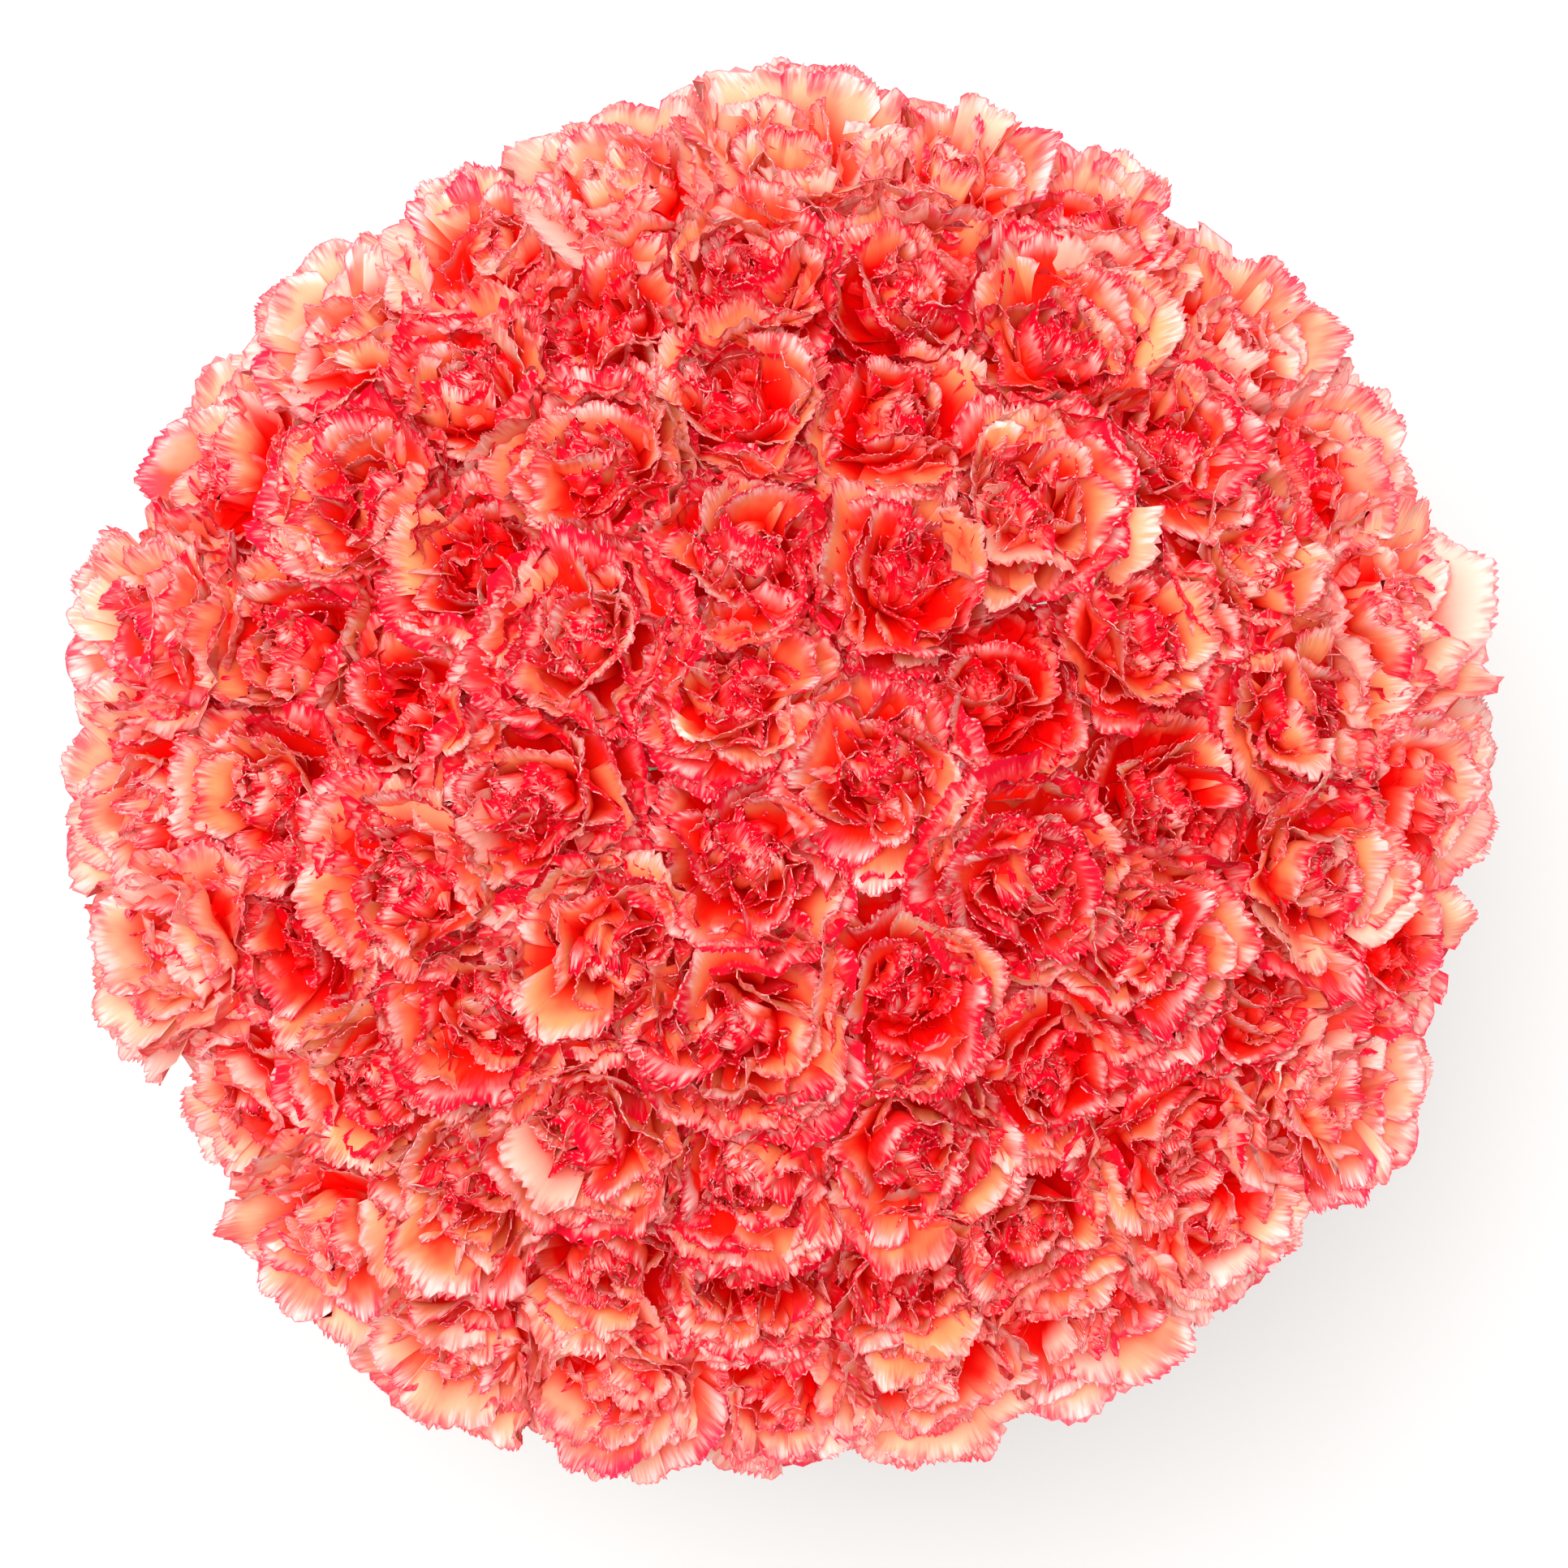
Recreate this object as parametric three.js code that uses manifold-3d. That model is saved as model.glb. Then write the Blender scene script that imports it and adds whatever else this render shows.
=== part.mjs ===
// A round hand-tied bunch of 72 standard carnations, standing on its splayed, flush-cut stem ends.
// The blooms make a dome that is seen from above. Their stems spiral through one tie, the waist,
// and spread again below it, so the bunch stands by itself.
// Millimetres, +Z up. The origin is on the surface the bunch stands on, under its middle.

import * as THREE from 'three';
import { mergeVertices } from 'three/addons/utils/BufferGeometryUtils.js';
import Module from 'manifold-3d';

// ---------------------------------------------------------------- driving dimensions

// The dome: blooms in rings on a sphere, from the middle out.
const RING_COUNTS = [3, 9, 15, 21, 24];
const RING_PITCH = 54; // along the sphere, from one ring to the next
const FIRST_RING = 0.6; // where the first ring lies, in pitches from the top
const DOME_RADIUS = 380; // from the middle of the sphere to the tops of the blooms
const DOME_CENTRE_Z = 212;
const WANDER = 3.5; // how far a bloom stands off its even place in the ring
// The outline isn't quite round. Each row swells it a number of times about the middle: that
// number, by how much of its radius, and the angle of the first swelling.
const SWELLS = [
  [2, 0.018, THREE.MathUtils.degToRad(-4)],
  [4, 0.020, THREE.MathUtils.degToRad(-21)],
  [6, 0.011, THREE.MathUtils.degToRad(-7)],
];

// One carnation.
const BLOOM_RADIUS = 39;
const RIM_BLOOM_RADIUS = 48; // the blooms of the outer ring have room to open wide
const BLOOM_HEIGHT = 42; // above the mouth of the calyx
const BLOOM_SIDES = 8;
const CALYX_LENGTH = 28;
const CALYX_MOUTH_RADIUS = 7;
const CALYX_FOOT_RADIUS = 4.4;
const CALYX_SIDES = 5;
const STEM_RADIUS = 2.6;
const STEM_SIDES = 5;
const STEM_STEPS = 6;
const STEM_IN_CALYX = 4;

// The waist, where the tie holds the stems, and the spiral through it.
const WAIST_Z = 180;
const WAIST_FIRST_RADIUS = 3.3;
const WAIST_PITCH = 5.7; // from one ring of stems to the next
const RIM_LEAN = THREE.MathUtils.degToRad(27); // of the outermost stems at the waist
const TWIST = THREE.MathUtils.degToRad(80); // how far a stem turns about the middle, waist to bloom
const STEMS_TOGETHER = 4.4; // between the three stems of a group, which press together here
const GROUP_SIZE = 3;

const TIE_INNER_RADIUS = 29.6;
const TIE_THICKNESS = 2.2;
const TIE_HEIGHT = 12;
const TIE_SIDES = 24;

// One pair of leaves, on the middle stem of each group in the outer ring.
const LEAF_STEP = 4; // of the stem's steps, from its cut end
const LEAF_LENGTH = 72;
const LEAF_WIDTH = 6;
const LEAF_THICKNESS = 1.6;
const LEAF_LEAN = THREE.MathUtils.degToRad(20); // off the stem, at its foot
const LEAF_BEND = THREE.MathUtils.degToRad(30); // more by its tip
const LEAF_TURN = THREE.MathUtils.degToRad(42); // each side of straight outwards
const COLLAR_INNER_RADIUS = 3.3;
const COLLAR_THICKNESS = 1.4;
const COLLAR_HEIGHT = 6;
const COLLAR_SIDES = 7;

const GAP = 0.3; // between pieces that rest on each other
const FLAT_WITHIN = 0.01;

const LOOKS = {
  bloom: { color: 0xf2704f, roughness: 0.7, metalness: 0 },
  rimBloom: { color: 0xfa9a72, roughness: 0.7, metalness: 0 },
  stem: { color: 0x7f9b62, roughness: 0.55, metalness: 0 },
  leaf: { color: 0x8fa68e, roughness: 0.6, metalness: 0 },
  tie: { color: 0xc9b184, roughness: 0.85, metalness: 0 },
};

// ---------------------------------------------------------------- solids

const wasm = await Module();
wasm.setup();

/** The closed solid of a three.js geometry, moved by a matrix. */
function solid(geometry, matrix = new THREE.Matrix4()) {
  const bare = geometry.clone().applyMatrix4(matrix);
  bare.deleteAttribute('normal');
  bare.deleteAttribute('uv');
  const merged = mergeVertices(bare, 1e-4);
  const corners = merged.index.array;
  const triangles = [];
  for (let i = 0; i < corners.length; i += 3) {
    const [a, b, c] = corners.slice(i, i + 3);
    if (a !== b && b !== c && c !== a) triangles.push(a, b, c); // a pole's faces can be flat
  }
  return new wasm.Manifold(new wasm.Mesh({
    numProp: 3,
    vertProperties: new Float32Array(merged.attributes.position.array),
    triVerts: new Uint32Array(triangles),
  }));
}

/** All of these solids as one. */
function joined(solids) {
  return solids.reduce((whole, piece) => whole.add(piece));
}

/** A named mesh of a solid, less the corners that its flat faces don't need, with its own material. */
function namedMesh(name, body, look) {
  const { vertProperties, triVerts } = body.asOriginal().simplify(FLAT_WITHIN).getMesh();
  const geometry = new THREE.BufferGeometry();
  geometry.setAttribute('position', new THREE.BufferAttribute(vertProperties, 3));
  geometry.setIndex(new THREE.BufferAttribute(triVerts, 1));
  geometry.computeVertexNormals();
  const mesh = new THREE.Mesh(geometry, new THREE.MeshStandardMaterial(look));
  mesh.name = name;
  return mesh;
}

/** A solid of revolution about +Z, from (radius, height) points. */
function turned(points, sides) {
  const profile = points.map(([radius, height]) => new THREE.Vector2(radius, height));
  return new THREE.LatheGeometry(profile, sides).rotateX(Math.PI / 2);
}

// ---------------------------------------------------------------- where each carnation stands

const RIM_RING = RING_COUNTS.length - 1;
const RIM_WAIST_RADIUS = WAIST_FIRST_RADIUS + RIM_RING * WAIST_PITCH;
const SPIRAL = Math.tan(RIM_LEAN) / RIM_WAIST_RADIUS; // lean at the waist, per millimetre off the middle

/** A number from -1 to 1 that looks irregular. The rim's two halves get the same ones. */
function uneven(ring, place, salt) {
  const turn = ring === RIM_RING ? place % (RING_COUNTS[RIM_RING] / 2) : place;
  return Math.sin(12.9 * turn + 4.7 * ring + salt);
}

/** How much further out the rim stands at this angle, as a share of its mean radius. */
function swelling(angle) {
  return SWELLS.reduce((sum, [times, share, first]) => sum + share * Math.cos(times * (angle - first)), 0);
}

/** Unit vectors outwards and around at this angle, level with the floor. */
function levelFrame(angle) {
  const outwards = new THREE.Vector3(Math.cos(angle), Math.sin(angle), 0);
  const around = new THREE.Vector3(-Math.sin(angle), Math.cos(angle), 0);
  return { outwards, around };
}

/** One carnation's place: its axis, the matrices of its bloom and calyx, and its stem's line. */
function carnation(ring, place) {
  const count = RING_COUNTS[ring];
  const evenAngle = (2 * Math.PI * (place + 0.5 * (ring % 2))) / count;
  const evenArc = RING_PITCH * (FIRST_RING + ring);
  const arc = evenArc * (1 + (swelling(evenAngle) * ring) / RIM_RING) + WANDER * uneven(ring, place, 0.4);
  const tilt = arc / DOME_RADIUS;
  const ringRadius = DOME_RADIUS * Math.sin(tilt);
  const angle = evenAngle + (WANDER * uneven(ring, place, 2.1)) / ringRadius;

  const { outwards, around } = levelFrame(angle);
  const up = new THREE.Vector3(0, 0, 1);
  const axis = outwards.clone().multiplyScalar(Math.sin(tilt)).addScaledVector(up, Math.cos(tilt));
  const downhill = outwards.clone().multiplyScalar(Math.cos(tilt)).addScaledVector(up, -Math.sin(tilt));
  const centre = new THREE.Vector3(0, 0, DOME_CENTRE_Z);
  const along = (distance) => centre.clone().addScaledVector(axis, distance);
  const placed = (distance) =>
    new THREE.Matrix4().makeBasis(downhill, around, axis).setPosition(along(distance));

  // At the waist the three stems of a group lie close together about their middle one.
  const waistRadius = WAIST_FIRST_RADIUS + ring * WAIST_PITCH;
  const lean = Math.atan(SPIRAL * waistRadius);
  const group = Math.floor(place / GROUP_SIZE);
  const middle = group * GROUP_SIZE + 1;
  const middleAngle = (2 * Math.PI * (middle + 0.5 * (ring % 2))) / count - TWIST;
  const step = 2 * Math.asin(STEMS_TOGETHER / Math.cos(lean) / 2 / waistRadius);
  const atWaist = levelFrame(middleAngle + (place - middle) * Math.min(step, (2 * Math.PI) / count));

  const calyxFoot = DOME_RADIUS - BLOOM_HEIGHT - CALYX_LENGTH;
  const waist = atWaist.outwards.clone().multiplyScalar(waistRadius).setZ(WAIST_Z);
  const leaning = atWaist.around.clone().multiplyScalar(SPIRAL * waistRadius).add(up);
  const belowFloor = waist.clone().addScaledVector(leaning, -(WAIST_Z + 4 * STEM_RADIUS));
  const top = along(calyxFoot + STEM_IN_CALYX);
  const third = waist.distanceTo(top) / 3;
  const line = new THREE.CurvePath();
  line.add(new THREE.LineCurve3(belowFloor, waist));
  line.add(new THREE.CubicBezierCurve3(
    waist,
    waist.clone().addScaledVector(leaning.clone().normalize(), third),
    top.clone().addScaledVector(axis, -third),
    top,
  ));

  return {
    ring,
    group,
    line,
    bloomMatrix: placed(DOME_RADIUS - BLOOM_HEIGHT + GAP),
    calyxMatrix: placed(calyxFoot),
    bloomMiddle: along(DOME_RADIUS - BLOOM_HEIGHT / 2),
  };
}

const carnations = RING_COUNTS.flatMap((count, ring) =>
  Array.from({ length: count }, (_, place) => carnation(ring, place)));

// ---------------------------------------------------------------- blooms, calyxes and stems

/** The outer shape of one open bloom, from the mouth of its calyx up. */
function bloomShape(radius) {
  return turned([
    [0, 0],
    [CALYX_MOUTH_RADIUS, 0],
    [radius, 0.55 * BLOOM_HEIGHT],
    [0.66 * radius, 0.95 * BLOOM_HEIGHT],
    [0, BLOOM_HEIGHT],
  ], BLOOM_SIDES);
}

/** A bloom, pressed flat where it meets the blooms of other groups. */
function bloom(flower) {
  const radius = flower.ring === RIM_RING ? RIM_BLOOM_RADIUS : BLOOM_RADIUS;
  let body = solid(bloomShape(radius), flower.bloomMatrix);
  for (const other of carnations) {
    const sameGroup = other.ring === flower.ring && other.group === flower.group;
    const apart = flower.bloomMiddle.distanceTo(other.bloomMiddle);
    if (sameGroup || apart > 2.2 * RIM_BLOOM_RADIUS) continue;
    const inwards = flower.bloomMiddle.clone().sub(other.bloomMiddle).normalize();
    const between = flower.bloomMiddle.clone().lerp(other.bloomMiddle, 0.5);
    body = body.trimByPlane(inwards.toArray(), inwards.dot(between) + GAP / 2);
  }
  return body;
}

/** The green tube that holds the petals, widest at its mouth. */
function calyx(flower) {
  const tube = new THREE.CylinderGeometry(CALYX_MOUTH_RADIUS, CALYX_FOOT_RADIUS, CALYX_LENGTH, CALYX_SIDES);
  tube.rotateX(Math.PI / 2).translate(0, 0, CALYX_LENGTH / 2);
  return solid(tube, flower.calyxMatrix);
}

/** A round outline with this many corners. */
function roundOutline(radius, sides) {
  const corners = Array.from({ length: sides }, (_, i) => {
    const angle = (2 * Math.PI * i) / sides;
    return new THREE.Vector2(radius * Math.cos(angle), radius * Math.sin(angle));
  });
  return new THREE.Shape(corners);
}

/** A stem along its line, cut level with the floor. */
function stem(flower) {
  const tube = new THREE.ExtrudeGeometry(roundOutline(STEM_RADIUS, STEM_SIDES), {
    steps: STEM_STEPS,
    extrudePath: flower.line,
  });
  return solid(tube).trimByPlane([0, 0, 1], 0);
}

// ---------------------------------------------------------------- leaves and tie

/** A narrow blade that grows along +Z from the origin and bends over towards +X. */
function leafBlade() {
  const blade = new THREE.SphereGeometry(1, 5, 4);
  blade.scale(LEAF_THICKNESS / 2, LEAF_LENGTH / 2, LEAF_WIDTH / 2).rotateX(Math.PI / 2);
  blade.translate(0, 0, LEAF_LENGTH / 2);
  const position = blade.attributes.position;
  const bendRadius = LEAF_LENGTH / LEAF_BEND;
  for (let i = 0; i < position.count; i += 1) {
    const turn = position.getZ(i) / bendRadius;
    const radius = bendRadius - position.getX(i);
    position.setX(i, bendRadius - radius * Math.cos(turn));
    position.setZ(i, radius * Math.sin(turn));
  }
  return blade.rotateY(LEAF_LEAN);
}

/** Two blades on a collar around the stem, spread to either side of straight outwards. */
function leafPair(flower) {
  const foot = flower.line.getPointAt(LEAF_STEP / STEM_STEPS);
  const axis = flower.line.getTangentAt(LEAF_STEP / STEM_STEPS);
  const outwards = foot.clone().setZ(0).normalize();
  const front = outwards.addScaledVector(axis, -outwards.dot(axis)).normalize();
  const side = new THREE.Vector3().crossVectors(axis, front);
  const onStem = new THREE.Matrix4().makeBasis(front, side, axis).setPosition(foot);

  const outer = COLLAR_INNER_RADIUS + COLLAR_THICKNESS;
  const half = COLLAR_HEIGHT / 2;
  const collar = turned([
    [COLLAR_INNER_RADIUS, -half],
    [outer, -half],
    [outer, half],
    [COLLAR_INNER_RADIUS, half],
    [COLLAR_INNER_RADIUS, -half],
  ], COLLAR_SIDES);
  const blades = [-LEAF_TURN, LEAF_TURN].map((turn) =>
    leafBlade().translate(outer - COLLAR_THICKNESS / 2, 0, -half / 2).rotateZ(turn));
  return joined([collar, ...blades].map((geometry) => solid(geometry, onStem)));
}

/** The band that binds all the stems at the waist. */
function tie() {
  const outer = TIE_INNER_RADIUS + TIE_THICKNESS;
  const half = TIE_HEIGHT / 2;
  const band = turned([
    [TIE_INNER_RADIUS, -half],
    [outer, -half],
    [outer, half],
    [TIE_INNER_RADIUS, half],
    [TIE_INNER_RADIUS, -half],
  ], TIE_SIDES);
  return solid(band.translate(0, 0, WAIST_Z));
}

// ---------------------------------------------------------------- the bunch

const bunch = new THREE.Group();

RING_COUNTS.forEach((count, ring) => {
  for (let group = 0; group < count / GROUP_SIZE; group += 1) {
    const flowers = carnations.filter((flower) => flower.ring === ring && flower.group === group);
    const place = `ring${ring + 1}_${group + 1}`;
    const bloomLook = ring === RIM_RING ? LOOKS.rimBloom : LOOKS.bloom;
    bunch.add(namedMesh(`blooms_${place}`, joined(flowers.map(bloom)), bloomLook));
    const green = joined([...flowers.map(stem), ...flowers.map(calyx)]);
    bunch.add(namedMesh(`stems_${place}`, green, LOOKS.stem));
    if (ring === RIM_RING) {
      bunch.add(namedMesh(`leaf_pair_${group + 1}`, leafPair(flowers[1]), LOOKS.leaf));
    }
  }
});
bunch.add(namedMesh('tie', tie(), LOOKS.tie));

export default bunch;
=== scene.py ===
# %% [markdown]
# # A round bunch of carnations
#
# Seventy-two carnations are held by one tie. Their stems spiral through it and splay out below, so
# the bunch stands on its cut ends. Their heads make a dome of coral petals, which is what you see
# first, so most of this lesson is about one petal: how it is cut, bent, ruffled and painted.
#
# The model that this scene dresses is already measured. We load it first. Every piece
# below is made in metres at the place where that model says it is.

# %% Load the measured model
import math
from collections import namedtuple

import bpy
import numpy as np
from mathutils import Matrix, Vector


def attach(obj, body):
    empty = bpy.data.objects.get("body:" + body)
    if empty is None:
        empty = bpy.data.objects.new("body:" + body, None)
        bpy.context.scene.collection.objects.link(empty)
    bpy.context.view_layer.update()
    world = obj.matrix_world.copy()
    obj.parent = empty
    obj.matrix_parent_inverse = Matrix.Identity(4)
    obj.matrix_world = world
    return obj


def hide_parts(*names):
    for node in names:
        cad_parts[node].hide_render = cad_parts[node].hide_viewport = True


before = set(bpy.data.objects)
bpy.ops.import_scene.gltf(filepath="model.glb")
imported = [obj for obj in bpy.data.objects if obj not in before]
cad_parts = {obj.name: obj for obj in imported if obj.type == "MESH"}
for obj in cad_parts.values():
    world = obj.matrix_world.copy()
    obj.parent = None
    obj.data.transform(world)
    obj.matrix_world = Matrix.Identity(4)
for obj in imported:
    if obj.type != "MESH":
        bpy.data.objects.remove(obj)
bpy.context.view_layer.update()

MM = 0.001

# %% [markdown]
# ## Where each flower stands
#
# A florist adds stems one by one, each leaning the same way round, and the heads settle into rings on
# a dome. The same simple rule placed the solids of the measured model, so it is repeated here: ring by
# ring on a sphere, each head a little off its even place. A rule is better than a list of places,
# because every stem, green cup and petal below can be worked out from it.

# %% The rule for the rings
RING_COUNTS = [3, 9, 15, 21, 24]
RIM = len(RING_COUNTS) - 1
RING_PITCH = 54 * MM
FIRST_RING = 0.6
DOME_RADIUS = 380 * MM
DOME_CENTRE = Vector((0, 0, 212 * MM))
WANDER = 3.5 * MM
SWELLS = [(2, 0.018, math.radians(-4)), (4, 0.020, math.radians(-21)), (6, 0.011, math.radians(-7))]
BLOOM_HEIGHT = 42 * MM
CALYX_LENGTH = 28 * MM
GAP = 0.3 * MM
WAIST_Z = 180 * MM
WAIST_FIRST_RADIUS = 3.3 * MM
WAIST_PITCH = 5.7 * MM
SPIRAL = math.tan(math.radians(27)) / (WAIST_FIRST_RADIUS + RIM * WAIST_PITCH)
TWIST = math.radians(80)
STEMS_TOGETHER = 4.4 * MM
GROUP_SIZE = 3
STEM_RADIUS = 2.6 * MM
STEM_IN_CALYX = 4 * MM

FLOWER_FIELDS = "ring place group bloom calyx middle foot waist waist_handle top_handle top"
Flower = namedtuple("Flower", FLOWER_FIELDS)


def uneven(ring, place, salt):
    """A number from -1 to 1 that looks irregular."""
    turn = place % (RING_COUNTS[RIM] // 2) if ring == RIM else place
    return math.sin(12.9 * turn + 4.7 * ring + salt)


def level_frame(angle):
    """Directions outwards and around at this angle, level with the floor."""
    outwards = Vector((math.cos(angle), math.sin(angle), 0))
    return outwards, Vector((-outwards.y, outwards.x, 0))


def flower(ring, place):
    """Where one flower's head, green cup and stem are."""
    count = RING_COUNTS[ring]
    angle = math.tau * (place + 0.5 * (ring % 2)) / count
    swelling = sum(share * math.cos(times * (angle - first)) for times, share, first in SWELLS)
    arc = RING_PITCH * (FIRST_RING + ring) * (1 + swelling * ring / RIM)
    arc += WANDER * uneven(ring, place, 0.4)
    tilt = arc / DOME_RADIUS
    angle += WANDER * uneven(ring, place, 2.1) / (DOME_RADIUS * math.sin(tilt))
    outwards, around = level_frame(angle)
    up = Vector((0, 0, 1))
    axis = outwards * math.sin(tilt) + up * math.cos(tilt)
    downhill = outwards * math.cos(tilt) - up * math.sin(tilt)
    turned = Matrix((downhill, around, axis)).transposed().to_4x4()

    def placed(distance):
        return Matrix.Translation(DOME_CENTRE + axis * distance) @ turned

    waist_radius = WAIST_FIRST_RADIUS + ring * WAIST_PITCH
    lean = math.atan(SPIRAL * waist_radius)
    group = place // GROUP_SIZE
    middle = group * GROUP_SIZE + 1
    middle_angle = math.tau * (middle + 0.5 * (ring % 2)) / count - TWIST
    step = min(2 * math.asin(STEMS_TOGETHER / math.cos(lean) / 2 / waist_radius), math.tau / count)
    at_waist, around_waist = level_frame(middle_angle + (place - middle) * step)
    waist = at_waist * waist_radius + up * WAIST_Z
    leaning = around_waist * (SPIRAL * waist_radius) + up
    calyx_foot = DOME_RADIUS - BLOOM_HEIGHT - CALYX_LENGTH
    top = DOME_CENTRE + axis * (calyx_foot + STEM_IN_CALYX)
    third = (waist - top).length / 3
    return Flower(
        ring=ring,
        place=place,
        group=group,
        bloom=placed(DOME_RADIUS - BLOOM_HEIGHT + GAP),
        calyx=placed(calyx_foot),
        middle=DOME_CENTRE + axis * (DOME_RADIUS - BLOOM_HEIGHT / 2),
        foot=waist - leaning * (WAIST_Z + 4 * STEM_RADIUS),
        waist=waist,
        waist_handle=waist + leaning.normalized() * third,
        top_handle=top - axis * third,
        top=top,
    )


flowers = [flower(ring, place) for ring, count in enumerate(RING_COUNTS) for place in range(count)]
print(f"{len(flowers)} flowers, the highest head at {max(f.middle.z for f in flowers):.3f} m")

# %% [markdown]
# ## Small tools
#
# Blender's operators act on whatever is selected, and the loaded solids still are. So everything is
# let go of first, and each tool below leaves only its own piece selected. Corners are moved all at
# once as rows of numbers, which is far quicker than one by one.


# %% Selecting, and moving corners
def select_only(*objects):
    """Selects these pieces, the first of them active."""
    bpy.ops.object.select_all(action="DESELECT")
    for piece in objects:
        piece.select_set(True)
    if objects:
        bpy.context.view_layer.objects.active = objects[0]


def corners(piece):
    """All corners of a piece, one row each."""
    flat = np.empty(len(piece.data.vertices) * 3)
    piece.data.vertices.foreach_get("co", flat)
    return flat.reshape(-1, 3)


def move_corners(piece, rows):
    """Puts each corner where its row says."""
    piece.data.vertices.foreach_set("co", rows.ravel())
    piece.data.update()


def placed_rows(rows, matrix):
    """Rows of corners, turned and moved by a 4x4 matrix."""
    turn = np.array(matrix)
    return rows @ turn[:3, :3].T + turn[:3, 3]


def numbers(piece, name):
    """A named number for every corner of a piece."""
    values = np.zeros(len(piece.data.vertices))
    piece.data.attributes[name].data.foreach_get("value", values)
    return values


def set_numbers(piece, name, values, kind="FLOAT"):
    """Writes a named number for every corner."""
    layer = piece.data.attributes.get(name) or piece.data.attributes.new(name, kind, "POINT")
    layer.data.foreach_set("value", values)


def copy_of(piece, name):
    """A copy with a mesh of its own."""
    twin = piece.copy()
    twin.data = piece.data.copy()
    twin.name = twin.data.name = name
    bpy.context.scene.collection.objects.link(twin)
    return twin


def joined(pieces, name):
    """Several pieces as one."""
    select_only(*pieces)
    if len(pieces) > 1:
        bpy.ops.object.join()
    whole = bpy.context.object
    whole.name = whole.data.name = name
    return whole


def apply_modifier(piece, kind, **settings):
    """Adds a modifier with these settings and applies it."""
    select_only(piece)
    modifier = piece.modifiers.new(kind.lower(), kind)
    for setting, value in settings.items():
        setattr(modifier, setting, value)
    bpy.ops.object.modifier_apply(modifier=modifier.name)


def triangles(piece):
    """How many triangles a piece has."""
    return sum(len(face.vertices) - 2 for face in piece.data.polygons)


select_only()
print("Everything is deselected")

# %% [markdown]
# ## Paint for petals
#
# A coral carnation has a peach ground that deepens to orange-red towards the heart; the paint deepens
# it further low on each petal, as painted shade where petals overlap. Its toothed margin is hot pink,
# and the pink runs inwards in feathered strokes. Flecks near the margin are almost white; in part they
# are painted highlights on the ruffled edge.
# A picture could be wrapped on each petal, but painting with noise keeps every petal different.
#
# The strokes must run from the claw, the petal's narrow foot, to its margin, however the petal is
# bent. So the pattern is drawn on the petal's own map, where one number goes across and one along.


# %% Node tools
def srgb(red, green, blue):
    """A colour given as on a screen, 0 to 255, in the linear values that nodes use."""

    def linear(value):
        share = value / 255
        return share / 12.92 if share <= 0.04045 else ((share + 0.055) / 1.055) ** 2.4

    return (linear(red), linear(green), linear(blue), 1.0)


def node(tree, kind, inputs=None, **settings):
    """Adds a node. Each input gets a link from a socket, or a plain value."""
    made = tree.nodes.new(kind)
    for name, value in settings.items():
        setattr(made, name, value)
    for name, value in (inputs or {}).items():
        if isinstance(value, bpy.types.NodeSocket):
            tree.links.new(value, made.inputs[name])
        else:
            made.inputs[name].default_value = value
    return made


def maths(tree, operation, first, second=0.0):
    """One sum on two values."""
    return node(tree, "ShaderNodeMath", {0: first, 1: second}, operation=operation).outputs[0]


def ramp(tree, value, low, high, at_low=0.0, at_high=1.0):
    """A soft step: at_low below low, at_high above high."""
    inputs = {"Value": value, "From Min": low, "From Max": high, "To Min": at_low, "To Max": at_high}
    return node(tree, "ShaderNodeMapRange", inputs, interpolation_type="SMOOTHSTEP").outputs[0]


def mix(tree, share, first, second):
    """One colour turning into another as share goes from 0 to 1."""
    return node(tree, "ShaderNodeMix", {0: share, 6: first, 7: second}, data_type="RGBA").outputs[2]


def noise(tree, vector, scale, detail=2.0, roughness=0.5):
    """Cloudy values around a half."""
    inputs = {"Vector": vector, "Scale": scale, "Detail": detail, "Roughness": roughness}
    return node(tree, "ShaderNodeTexNoise", inputs).outputs[0]


def new_material(name):
    """A material, its nodes and its shader."""
    material = bpy.data.materials.new(name)
    material.use_nodes = True
    return material, material.node_tree, material.node_tree.nodes["Principled BSDF"]


def link_surface(tree, shader, colour, roughness, height, strength, depth):
    """Gives a shader its colour, its roughness, and a height that the light shows as relief."""
    bump = node(tree, "ShaderNodeBump", {"Height": height, "Strength": strength, "Distance": depth})
    tree.links.new(colour, shader.inputs["Base Color"])
    tree.links.new(roughness, shader.inputs["Roughness"])
    tree.links.new(bump.outputs[0], shader.inputs["Normal"])


def new_group(name, inputs, outputs):
    """An empty node group with named sockets, and its input and output nodes."""
    tree = bpy.data.node_groups.new(name, "ShaderNodeTree")
    for socket, kind in inputs:
        tree.interface.new_socket(socket, in_out="INPUT", socket_type="NodeSocket" + kind)
    for socket, kind in outputs:
        tree.interface.new_socket(socket, in_out="OUTPUT", socket_type="NodeSocket" + kind)
    return tree, tree.nodes.new("NodeGroupInput"), tree.nodes.new("NodeGroupOutput")


print("Peach as nodes see it:", [round(value, 3) for value in srgb(255, 176, 118)])
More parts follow.
